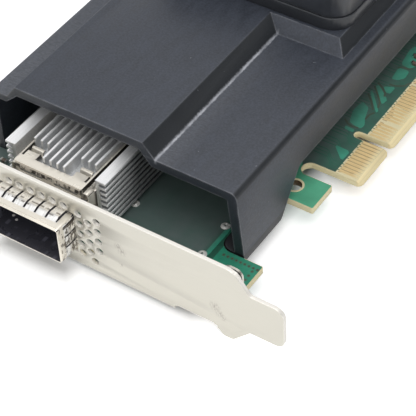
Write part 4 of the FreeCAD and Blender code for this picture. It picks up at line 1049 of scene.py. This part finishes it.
def lead_tree():
    """Gull-wing lead that leaves a package along +X, drops and ends in a foot."""
    tree = Tree("leads", Reach=MM, Drop=0.4 * MM, Width=0.4 * MM, Thickness=0.12 * MM)
    reach, drop, thick = tree.size("Reach"), tree.size("Drop"), tree.size("Thickness")
    parts = []
    for centre, level, length_x, length_z in (
            (0.18, 1.0, reach * 0.36, thick), (0.36, 0.5, thick, drop + thick),
            (0.64, 0.0, reach * 0.6, thick)):
        block = tree.cube(length_x, tree.size("Width"), length_z)
        parts.append(tree.moved(block, x=reach * centre, z=drop * level))
    return tree.close(tree.on_points(tree.joined(*parts)))


# Board
CORNER_CUT = 0.14  # share of a side that an eased corner takes
FIELD_FOOT = 0.9  # share of the mask's height at which copper fields start
TRACE_LANES = 4  # contacts in a group; the last of each group has no trace
TRACE_LEAD = 2.0  # straight run from a contact, in millimetres
TRACE_SWING = 2.5  # how far the ends of traces vary, in millimetres

# Copper fields as outlines, and curved traces as lines, in millimetres
TOP_FIELDS = [
    [(-17.0, 11.6), (-16.0, 11.6), (-16.0, 20.6), (-17.0, 20.6)],
    [(-7.0, 49.6), (-6.9, 53.1), (-10.9, 53.3)],
    [(-11.6, 58.7), (-9.5, 58.6), (-9.5, 59.5), (-11.9, 59.7)],
    [(-10.1, 60.6), (-8.6, 60.5), (-8.4, 61.8), (-9.6, 64.2), (-10.4, 67.2), (-12.6, 68.4), (-13.0, 64.9),
     (-11.8, 61.2)],
    [(-8.3, 66.6), (-8.1, 67.4), (-12.7, 72.9), (-12.9, 72.1)],
    [(-10.4, 71.4), (-8.5, 69.7), (-8.2, 71.6), (-12.2, 75.0), (-12.7, 74.2)],
    [(-10.1, 73.6), (-8.7, 73.6), (-8.7, 76.1), (-11.1, 75.1)],
    [(-9.5, 78.5), (-8.4, 79.9), (-8.7, 82.5), (-11.4, 82.4), (-10.9, 78.2)],
    [(-9.0, 83.3), (-8.3, 84.7), (-8.3, 86.5), (-11.7, 91.1), (-12.2, 89.0), (-11.5, 83.7)],
    [(-12.4, 95.0), (-8.4, 93.8), (-9.0, 98.0), (-8.4, 101.0), (-11.8, 102.6)],
    [(-12.8, 106.0), (-8.4, 106.0), (-8.4, 112.0), (-12.8, 110.4)],
]
GUIDE_TRACES = [
    [(-12.8, 75.6), (-11.0, 74.5), (-9.7, 73.3), (-9.3, 72.2)],
    [(-12.9, 71.3), (-10.9, 69.2), (-9.3, 67.1)],
    [(-12.9, 74.2), (-10.7, 71.8), (-9.2, 70.0), (-8.7, 68.2)],
    [(-10.4, 76.4), (-9.0, 76.5), (-7.3, 77.5), (-6.5, 79.3)],
    [(-11.4, 82.2), (-10.8, 83.1), (-9.2, 83.0), (-8.5, 83.7)],
    [(-9.2, 63.6), (-9.2, 65.3), (-8.5, 66.5)],
    [(-13.1, 61.5), (-11.8, 60.5), (-10.6, 60.2), (-9.2, 60.4)],
]
BOTTOM_FIELDS = [
    [(-71.8, 2.6), (-22.0, 2.6), (-22.0, 13.0), (-30.0, 21.0), (-71.8, 21.0)],
    [(-71.8, 104.0), (-58.0, 104.0), (-52.0, 110.0), (-52.0, 141.6), (-71.8, 141.6)],
    [(-49.0, 118.0), (-30.0, 118.0), (-30.0, 141.6), (-49.0, 141.6)],
    [(-27.0, 118.0), (-12.0, 124.0), (-7.0, 134.0), (-7.0, 141.6), (-27.0, 141.6)],
]
TAB_VIAS = [(-13.4 + 1.0 * k, 13.9) for k in range(9)]
TAB_VIAS += [(-6.1, 13.0 - 1.3 * k) for k in range(4)]
TAB_VIAS += [(-15.4, 10.6 - 1.1 * k) for k in range(5)]
CHIP_VIAS = [(-53.0 + 2.4 * column, 74.5 + 2.6 * row) for row in range(9) for column in range(11)]
LOOSE_VIAS = 120


def at_level(places, level):
    """Points at one level, from places in millimetres."""
    return [Vector((x * MM, y * MM, level)) for x, y in places]


def rim_loops(node, level, side):
    """Closed outlines of a CAD node's flat face at one level, with the face on their left from outside."""
    shape = merged(node)
    faces = {
        f for f in shape.faces
        if f.normal.z * side > 0.99 and abs(f.calc_center_median().z - level) < LEVEL_GAP}
    following = {}
    for face in faces:
        for loop in face.loops:
            if sum(other in faces for other in loop.edge.link_faces) == 1:
                following[loop.vert.index] = loop.link_loop_next.vert.index
    shape.verts.ensure_lookup_table()
    points = {k: shape.verts[k].co.copy() for k in following}
    shape.free()
    loops = []
    while following:
        loop, here = [], next(iter(following))
        while here in following:
            loop.append(points[here])
            here = following.pop(here)
        loops.append(loop)
    return loops


def moved_in(loop, distance, side):
    """Outline moved into its face by an even distance."""
    result = []
    for k, here in enumerate(loop):
        first = (here - loop[k - 1]).to_2d().normalized()
        second = (loop[(k + 1) % len(loop)] - here).to_2d().normalized()
        left_a = Vector((-first.y, first.x)) * side
        left_b = Vector((-second.y, second.x)) * side
        shift = (left_a + left_b) / max(1 + left_a.dot(left_b), 0.3) * distance
        result.append(here + shift.to_3d())
    return result


def filled(loops):
    """Flat mesh inside outlines, with the inner ones as holes."""
    shape = bmesh.new()
    edges = []
    for loop in loops:
        verts = [shape.verts.new(p) for p in loop]
        edges += [shape.edges.new((verts[k - 1], verts[k])) for k in range(len(verts))]
    bmesh.ops.triangle_fill(shape, use_beauty=True, edges=edges, normal=Vector((0, 0, 1)))
    return shape


def thickened(shape, name, height, side):
    """Closed thin sheet that grows out of the board on one side."""
    for face in shape.faces:
        if face.normal.z * side < 0:
            face.normal_flip()
    made = holder_of(shape, name)
    wall = made.modifiers.new("Wall", "SOLIDIFY")
    wall.thickness = height
    wall.offset = 1.0
    return evaluated(made)


def cut_across(shape, x):
    """Cuts a sheet's faces along a line of constant X."""
    everything = list(shape.verts) + list(shape.edges) + list(shape.faces)
    bmesh.ops.bisect_plane(shape, geom=everything, plane_co=(x, 0, 0), plane_no=(1, 0, 0), dist=CUT_GAP)


# Parts of the mask on one side: ending of the name, look
MASK_PARTS = [("", "mask_dark"), ("_front_tab", "mask_front"), ("_hole_tab", "mask_light")]


def mask_sheets(name, level, side, contacts):
    """Solder mask of one side: dark over the board, light over the copper of its tabs."""
    settings = bpy.context.scene.card_board
    loops = [moved_in(loop, settings.mask_inset, side) for loop in rim_loops("circuit_board", level, side)]
    shape = filled(loops)
    low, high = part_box(contacts)
    bare_x = low.x - settings.finger_gap
    front, back = low.y - TAB_MARGIN * MM, high.y + TAB_MARGIN * MM
    cut_across(shape, bare_x)
    cut_across(shape, settings.tab_field)

    def part_at(face):
        """Ending of the part that a face belongs to, or none where the laminate is bare."""
        x, y, _ = face.calc_center_median()
        if x > settings.tab_field and y < front:
            return "_front_tab" if y < FRONT_TAB_END * MM else "_hole_tab"
        return None if x > bare_x and front < y < back else ""

    for part, look in MASK_PARTS:
        sheet = shape.copy()
        others = [face for face in sheet.faces if part_at(face) != part]
        bmesh.ops.delete(sheet, geom=others, context="FACES")
        mesh = thickened(sheet, name + part, settings.mask_height, side)
        piece(name + part, mesh, look, CARD, "solder_mask")
    shape.free()


def eased(outline):
    """Outline with its corners cut."""
    cut, kept = [], 1 - CORNER_CUT
    for k, (x, y) in enumerate(outline):
        next_x, next_y = outline[(k + 1) % len(outline)]
        cut.append((kept * x + CORNER_CUT * next_x, kept * y + CORNER_CUT * next_y))
        cut.append((CORNER_CUT * x + kept * next_x, CORNER_CUT * y + kept * next_y))
    return cut


def copper_fields(name, fields, level, side):
    """Lighter fields where copper lies under the mask."""
    settings = bpy.context.scene.card_board
    shape = bmesh.new()
    base = level + side * settings.mask_height * FIELD_FOOT
    for field in fields:
        shape.faces.new([shape.verts.new(p) for p in at_level(eased(field), base)])
    bmesh.ops.triangulate(shape, faces=shape.faces)
    mesh = thickened(shape, name, settings.copper_height, side)
    piece(name, mesh, "mask_field", CARD, "solder_mask")


def trace_lines(node, rng, far_x, spread, lanes):
    """Lines in millimetres that leave the contacts, gather towards the chip and end at vias."""
    chip_low, chip_high = in_mm(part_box("chip_substrate"))
    middle = (chip_low.y + chip_high.y) / 2
    lines = []
    for k, contact in enumerate(islands(node)):
        lane = k % TRACE_LANES
        if lane == TRACE_LANES - 1:
            continue
        low, high = in_mm(contact)
        x, y = low.x, (low.y + high.y) / 2
        goal = middle + (y - middle) * spread
        bend_x = x - TRACE_LEAD - lane * lanes
        stop_x = far_x + rng.uniform(-TRACE_SWING, TRACE_SWING)
        turn_x = bend_x - abs(goal - y)
        if turn_x > stop_x:
            end = [(turn_x, goal), (stop_x, goal)]
        else:
            end = [(stop_x, y + math.copysign(bend_x - stop_x, goal - y))]
        lines.append([(x, y), (bend_x, y), *end])
    return lines


def joined_up(lines, level):
    """Points and edges of lines at one level."""
    points, edges = [], []
    for line in lines:
        edges += [(len(points) + k, len(points) + k + 1) for k in range(len(line) - 1)]
        points += at_level(line, level)
    return points, edges


class CARD_OT_board(bpy.types.Operator):
    """Bare laminate, solder mask on both sides, plated collars and eyelets"""
    bl_idname = "card.board"
    bl_label = "Board"

    def execute(self, context):
        settings = context.scene.card_board
        low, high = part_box("circuit_board")
        softened("circuit_board", "laminate", 0.04 * MM, "solder_mask", segments=1)
        mask_sheets("mask_top", high.z, 1, "edge_contacts_top")
        mask_sheets("mask_bottom", low.z, -1, "edge_contacts_bottom")
        collars = collar_tree()
        hole = mount("board_hole")
        height = settings.mask_height * 1.6
        for name, level, look in (
                ("hole_collar_top", high.z, "laminate"), ("hole_collar_bottom", low.z - height, "tin")):
            collars.grow(
                name, [(hole.x, hole.y, level)], look, "tin", Height=height, Sides=48,
                **metres(Radius=HOLE_RADIUS + 0.5, Width=0.48))
        softened("board_eyelets", "solder", 0.12 * MM, "tin", angle=40)
        dressed("edge_contacts_top", "gold")
        dressed("edge_contacts_bottom", "gold")
        return {"FINISHED"}


class CARD_OT_copper(bpy.types.Operator):
    """Covered copper fields, traces and vias of the board"""
    bl_idname = "card.copper"
    bl_label = "Copper"

    def execute(self, context):
        settings = context.scene.card_board
        rng = random.Random(settings.seed)
        low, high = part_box("circuit_board")
        top = high.z + settings.mask_height
        bottom = low.z - settings.mask_height
        thin = settings.copper_height
        copper_fields("copper_fields_top", TOP_FIELDS, high.z, 1)
        copper_fields("copper_fields_bottom", BOTTOM_FIELDS, low.z, -1)
        top_lines = trace_lines("edge_contacts_top", rng, far_x=-17.0, spread=0.94, lanes=0.5)
        bottom_lines = trace_lines("edge_contacts_bottom", rng, far_x=-30.0, spread=0.5, lanes=0.35)
        ribbons = ribbon_tree()
        for name, lines, level, look, width, height in (
                ("traces_top", top_lines, top, "mask_trace", 1, 1),
                ("traces_bottom", bottom_lines, bottom, "mask_trace", 1, 1),
                ("guide_traces_top", GUIDE_TRACES, top + thin * 0.5, "olive", 2.2, 1.5)):
            points, edges = joined_up(lines, level)
            ribbons.grow(
                name, points, look, "solder_mask", edges, Width=settings.trace_width * width,
                Height=thin * height, Ease=0.8 * MM)
        loose = [(rng.uniform(-66, -17), rng.uniform(4, 140)) for _ in range(LOOSE_VIAS)]
        upper = at_level([line[-1] for line in top_lines], top)
        lower = at_level(CHIP_VIAS + loose + [line[-1] for line in bottom_lines], bottom - thin)
        tabs = at_level(TAB_VIAS, top)
        collars, dots = collar_tree(), dot_tree()
        for name, places, look, sides, radius, width in (
                ("via_collars_tab", tabs, "via_tan", 12, settings.tab_via_radius, 0.6),
                ("via_collars_top", upper, "via_tan", 10, settings.via_radius, 0.5),
                ("via_collars_bottom", lower, "mask_field", 8, settings.via_radius, 0.5)):
            collars.grow(
                name, places, look, "solder_mask", Sides=sides, Radius=radius, Width=radius * width,
                Height=thin)
        for name, places in (("via_wells_top", tabs + upper), ("via_wells_bottom", lower)):
            dots.grow(
                name, places, "well", "solder_mask", Radius=settings.via_radius * 0.55, Height=thin * 0.6,
                Crown=0.9, Sides=8)
        return {"FINISHED"}


# Bracket, port and cooling
class CARD_OT_bracket(bpy.types.Operator):
    """Folded slot bracket and the press nuts on its ears"""
    bl_idname = "card.bracket"
    bl_label = "Bracket"

    def execute(self, context):
        edge = context.scene.card_metal.sheet_edge
        softened("bracket", "bracket_steel", edge)
        softened("bracket_nuts", "fastener_steel", edge)
        return {"FINISHED"}


class CARD_OT_port(bpy.types.Operator):
    """Cage, contact springs, connector and heatsink clip of the port"""
    bl_idname = "card.port"
    bl_label = "Port"

    def execute(self, context):
        edge = context.scene.card_metal.spring_edge
        softened("port_cage", "cage_body", edge, "cage_steel")
        softened("spring_collar", "collar_steel", edge, "cage_steel")
        clip = softened("heatsink_clip", "cage_steel", edge, body=None)
        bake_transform(clip)
        softened("port_connector", "connector_plastic", 0.08 * MM)
        dressed("connector_contacts", "gold")
        low, high = in_mm(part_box("port_cage"))
        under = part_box("circuit_board")[0].z
        pins = [(x, y) for x in (low.x + CAGE_PIN_INSET, high.x - CAGE_PIN_INSET) for y in CAGE_PIN_ROWS]
        tail = metres(Radius=0.3, Height=0.75)
        solder = metres(Radius=0.36, Height=0.34)
        dots = dot_tree()
        # White dots on the cage's floor: painted light in the shaded cage
        light_spots = at_level(CAGE_LIGHT_SPOTS, (low.z + LIGHT_SPOT_LIFT) * MM)
        dots.grow(
            "cage_dimples", light_spots, "mark", "cage_steel", Sides=16, **metres(Radius=0.36, Height=0.12))
        tails, joints = (at_level(pins, under - size["Height"]) for size in (tail, solder))
        dots.grow("cage_tails", tails, "tin", "cage_steel", Crown=1.0, Sides=12, **tail)
        dots.grow("cage_solder", joints, "tin", "tin", Crown=1.75, Sides=16, **solder)
        return {"FINISHED"}


class CARD_OT_heatsinks(bpy.types.Operator):
    """Riding heatsink of the port, main heatsink and the chip under it"""
    bl_idname = "card.heatsinks"
    bl_label = "Heatsinks"

    def execute(self, context):
        edge = context.scene.card_metal.fin_edge
        softened("riding_heatsink", "heatsink_aluminium", edge, body=RIDER)
        softened("main_heatsink", "heatsink_aluminium", edge)
        softened("chip_substrate", "substrate", 0.05 * MM)
        softened("chip_lid", "lid_nickel", 0.15 * MM)
        softened("thermal_pad", "pad", 0.05 * MM)
        return {"FINISHED"}


class CARD_OT_shroud(bpy.types.Operator):
    """Charcoal shroud over the heatsink"""
    bl_idname = "card.shroud"
    bl_label = "Shroud"

    def execute(self, context):
        softened("shroud", "shroud_plastic", context.scene.card_plastic.shroud_edge, angle=24)
        return {"FINISHED"}


# Impeller, motor and nuts of the fan: node, look, rounding in millimetres, body
FAN_PARTS = [
    ("impeller", "fan_plastic", 0.1, ROTOR),
    ("bearing_sleeve", "bronze", 0.05, CARD),
    ("stator_core", "lamination", 0.05, CARD),
    ("stator_coils", "copper", 0.05, CARD),
    ("fan_board", "fan_laminate", 0.05, CARD),
    ("rotor_yoke", "yoke_steel", 0.05, ROTOR),
    ("rotor_magnet", "magnet", 0.05, ROTOR),
    ("fan_shaft", "shaft_steel", 0.05, ROTOR),
    ("fan_nuts", "fastener_steel", 0.15, CARD),
]


class CARD_OT_fan(bpy.types.Operator):
    """Fan frame, impeller and motor"""
    bl_idname = "card.fan"
    bl_label = "Fan"

    def execute(self, context):
        softened("fan_frame", "fan_plastic", context.scene.card_plastic.fan_edge, angle=40)
        for node, look, edge, body in FAN_PARTS:
            softened(node, look, edge * MM, body=body, angle=40)
        return {"FINISHED"}


# Screws: node, side of the head, height of the head and radius of the shank in millimetres
SCREWS = [("bracket_screws", 1, 1.6, 1.2), ("heatsink_screws", -1, 1.5, 1.2), ("fan_screws", 1, 1.8, 1.5)]


class CARD_OT_screws(bpy.types.Operator):
    """Pan-head screws of the bracket, the heatsink and the fan"""
    bl_idname = "card.screws"
    bl_label = "Screws"

    def execute(self, context):
        tree = screw_tree()
        rng = random.Random(context.scene.card_board.seed)
        for node, side, head, shank in SCREWS:
            boxes = islands(node)
            low, high = boxes[0]
            seat = high.z - head * MM if side > 0 else low.z + head * MM
            places = [Vector(((a.x + b.x) / 2, (a.y + b.y) / 2, seat)) for a, b in boxes]
            turns = [rng.uniform(0, math.pi) for _ in places]
            tree.grow(
                "pan_" + node, places, "fastener_steel", "fastener_steel", turns=turns, stands_for=(node,),
                Head_Radius=(high.x - low.x) / 2, Head_Height=head * MM, Shank_Radius=shank * MM,
                Shank_Length=high.z - low.z - head * MM, Side=float(side))
        return {"FINISHED"}


# Components: node, look, slot, rounding in millimetres
PACKAGES = [
    ("power_inductors", "inductor", "inductor", 0.35),
    ("bulk_capacitors", "capacitor_black", "capacitor_black", 0.18),
    ("regulator_chips", "package_black", "package_black", 0.1),
    ("memory_chip", "package_black", "package_black", 0.15),
    ("clock_crystal", "lid_nickel", "tin", 0.2),
]


def lead_rows(chips, count, pitch, lift):
    """Places and turns of the leads along the front and back of chips, in metres."""
    places, turns = [], []
    for low, high in chips:
        for k in range(count):
            x = (low.x + high.x) / 2 + (k - (count - 1) / 2) * pitch
            places += [Vector((x, low.y, low.z + lift)), Vector((x, high.y, low.z + lift))]
            turns += [-math.pi / 2, math.pi / 2]
    return places, turns


class CARD_OT_components(bpy.types.Operator):
    """Capacitors, inductors, chips, crystal and status light"""
    bl_idname = "card.components"
    bl_label = "Components"

    def execute(self, context):
        blocks, leads, dots = block_tree(), lead_tree(), dot_tree()
        proud, thin = 0.03 * MM, 0.12 * MM
        for node in ("ceramic_capacitors_top", "ceramic_capacitors_bottom"):
            boxes = islands(node)
            softened(node, "ceramic", 0.06 * MM)
            size = boxes[0][1] - boxes[0][0]
            blocks.grow(
                node + "_ends", [(a + b) / 2 for a, b in boxes], "tin", "tin", Size_X=size.x * 0.24,
                Size_Y=size.y + 2 * proud, Size_Z=size.z + proud, Apart=size.x * 0.80)
        for node, look, slot, edge in PACKAGES:
            softened(node, look, edge * MM, slot, segments=3)
        for node, share, rise in (("power_inductors", 0.45, 0.55), ("bulk_capacitors", 0.62, 0.5)):
            boxes = islands(node)
            size = boxes[0][1] - boxes[0][0]
            feet = [Vector(((a.x + b.x) / 2, (a.y + b.y) / 2, a.z + size.z * rise / 2)) for a, b in boxes]
            blocks.grow(
                node + "_terminals", feet, "tin", "tin", Size_X=thin, Size_Y=size.y * share,
                Size_Z=size.z * rise, Apart=size.x + thin * 0.6)
        stripes = [Vector((a.x + 0.55 * MM, (a.y + b.y) / 2, b.z)) for a, b in islands("bulk_capacitors")]
        blocks.grow(
            "capacitor_stripes", stripes, "mark", "capacitor_black",
            **metres(Size_X=0.2, Size_Y=2.3, Size_Z=0.02, Apart=0.2))
        regulators, memory = islands("regulator_chips"), [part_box("memory_chip")]
        marks = [Vector((a.x + 0.7 * MM, b.y - 0.7 * MM, b.z - 0.005 * MM)) for a, b in regulators + memory]
        dots.grow(
            "first_pin_dots", marks, "mark", "package_black", Sides=16, **metres(Radius=0.26, Height=0.02))
        places, turns = lead_rows(memory, count=4, pitch=1.27 * MM, lift=0.06 * MM)
        leads.grow(
            "memory_leads", places, "tin", "tin", turns=turns,
            **metres(Reach=0.95, Drop=0.36, Width=0.42, Thickness=0.12))
        places, turns = lead_rows(regulators, count=6, pitch=0.65 * MM, lift=0.05 * MM)
        leads.grow(
            "regulator_pads", places, "tin", "tin", turns=turns,
            **metres(Reach=0.28, Drop=0.12, Width=0.3, Thickness=0.06))
        softened("status_lights", "lens", 0.08 * MM)
        return {"FINISHED"}


# Stage
CAMERA_PLACE = Vector((116.29, -169.89, 239.70)) * MM
CAMERA_AZIMUTH = math.radians(35.880)
CAMERA_ELEVATION = math.radians(45.153)
CAMERA_ROLL = math.radians(-3.264)
SENSOR_WIDTH = 36.0
DARK_SIDE = Vector((0.78, 0.57, 0.28)).normalized()
FLOOR_REACH = 3.0
FLOOR_GAP = 0.05
KEY_PLACE = (0.12, -0.04, 0.68)
FRONT_PLACE = (0.05, -0.72, 0.46)
LIGHT_AIM = (-0.035, 0.06, 0.01)


def make_camera(settings):
    """Camera at the place and angles that were fitted to the photo."""
    data = bpy.data.cameras.new("camera")
    data.lens = settings.lens
    data.sensor_width = SENSOR_WIDTH
    data.clip_start = 0.01
    camera = placed("camera", data)
    flat, fall = math.cos(CAMERA_ELEVATION), -math.sin(CAMERA_ELEVATION)
    level = Vector((math.cos(CAMERA_AZIMUTH), math.sin(CAMERA_AZIMUTH), 0))
    forward = Vector((-level.y * flat, level.x * flat, fall))
    upright = level.cross(forward)
    right = math.cos(CAMERA_ROLL) * level + math.sin(CAMERA_ROLL) * upright
    up = math.cos(CAMERA_ROLL) * upright - math.sin(CAMERA_ROLL) * level
    turn = Matrix((right, up, -forward)).transposed().to_4x4()
    camera.matrix_world = Matrix.Translation(CAMERA_PLACE) @ turn
    bpy.context.scene.camera = camera


def make_floor(settings):
    """Pale floor, whitened for the camera except in boxes under the shroud, the port and the contacts,
    where the floor is left darker as a painted shadow.
    """
    mesh = bpy.data.meshes.new("floor")
    level = CAD_BOX[0].z - FLOOR_GAP * MM
    corners = [(x * FLOOR_REACH, y * FLOOR_REACH, level) for x, y in ((-1, -1), (1, -1), (1, 1), (-1, 1))]
    mesh.from_pydata(corners, [], [(0, 1, 2, 3)])
    floor = placed("floor", mesh)
    made = Finish(settings.floor, roughness=0.9)
    made.material.name = "floor"
    x, y, _ = made.axes()
    shroud, port = in_mm(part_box("shroud")), in_mm(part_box("port_cage"))
    edge = in_mm(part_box("edge_contacts_top"))
    beside = FLOOR_REACH / MM
    # Boxes where the whitening fades out, leaving a darker floor as painted shadow
    for left, right, front, back in (
            (shroud[0].x, shroud[1].x - 3.0, 0.0, shroud[1].y),
            (port[0].x, port[1].x, port[0].y + 0.5, 0.0),
            (shroud[0].x, edge[1].x - 5.0, edge[0].y + 4.0, edge[1].y)):
        across = abs(x - (left + right) / 2) - (right - left) / 2
        along = abs(y - (front + back) / 2) - (back - front) / 2
        beside = (across | along).taken("MINIMUM", beside)
    lift = beside.span(-2, 3, 0.0, settings.floor_lift)
    made.use(Emission_Color=WHITE, Emission_Strength=made.seen_rays() * lift)
    mesh.materials.append(made.material)


def make_world(settings):
    """Soft open sky, dimmer towards one side of the horizon, with a white ground for the camera."""
    world = bpy.data.worlds.new("studio")
    bpy.context.scene.world = world
    world.use_nodes = True
    sky = Graph(world.node_tree)
    place = sky.node("ShaderNodeTexCoord", output="Generated")
    dim = sky.agreement(place, DARK_SIDE).span(0.72, 0.95, 1.0, 0.1, "SMOOTHSTEP")
    strength = dim * sky.seen_rays().span(0.0, 1.0, settings.sky, settings.sheen)
    sides = sky.node("ShaderNodeBackground", {"Color": WHITE, "Strength": strength})
    ground = sky.node("ShaderNodeBackground", {"Color": WHITE})
    seen = sky.node("ShaderNodeLightPath", output="Is Camera Ray")
    choice = sky.node("ShaderNodeMixShader", {0: seen, 1: sides, 2: ground})
    sky.fill(world.node_tree.nodes["World Output"], {"Surface": choice})


def soft_light(name, place, power, side):
    """Square soft light aimed at the card."""
    data = bpy.data.lights.new(name, "AREA")
    data.energy = power
    data.size = side
    lamp = placed(name, data)
    lamp.location = place
    lamp.rotation_mode = "QUATERNION"
    lamp.rotation_quaternion = (Vector(LIGHT_AIM) - Vector(place)).to_track_quat("-Z", "Y")


class CARD_OT_stage(bpy.types.Operator):
    """Camera, pale floor and soft studio light"""
    bl_idname = "card.stage"
    bl_label = "Stage"

    def execute(self, context):
        settings = context.scene.card_stage
        context.scene.view_settings.view_transform = "Standard"
        make_camera(settings)
        make_floor(settings)
        make_world(settings)
        soft_light("key", KEY_PLACE, settings.key_power, settings.key_size)
        soft_light("front", FRONT_PLACE, settings.front_power, settings.key_size)
        return {"FINISHED"}


OPERATORS = (
    CARD_OT_board, CARD_OT_copper, CARD_OT_bracket, CARD_OT_port, CARD_OT_heatsinks, CARD_OT_shroud,
    CARD_OT_fan, CARD_OT_screws, CARD_OT_components, CARD_OT_stage,
)
SETTINGS = {
    "card_board": BoardSettings, "card_metal": MetalSettings, "card_plastic": PlasticSettings,
    "card_stage": StageSettings,
}


class CARD_PT_looks(bpy.types.Panel):
    """Steps and settings of the card's looks"""
    bl_idname = "CARD_PT_looks"
    bl_label = "Adapter Card"
    bl_space_type = "VIEW_3D"
    bl_region_type = "UI"
    bl_category = "Adapter Card"

    def draw(self, context):
        for step in OPERATORS:
            self.layout.operator(step.bl_idname)
        for name in SETTINGS:
            box = self.layout.box()
            group = getattr(context.scene, name)
            for key in group.__annotations__:
                box.prop(group, key)


def register():
    for group in (*SETTINGS.values(), *OPERATORS, CARD_PT_looks):
        bpy.utils.register_class(group)
    for name, group in SETTINGS.items():
        setattr(bpy.types.Scene, name, PointerProperty(type=group))


def unregister():
    for name in SETTINGS:
        delattr(bpy.types.Scene, name)
    for group in (CARD_PT_looks, *OPERATORS, *SETTINGS.values()):
        bpy.utils.unregister_class(group)


def main():
    register()
    for step in OPERATORS:
        getattr(bpy.ops.card, step.bl_idname.split(".")[1])()


if __name__ == "__main__":
    main()
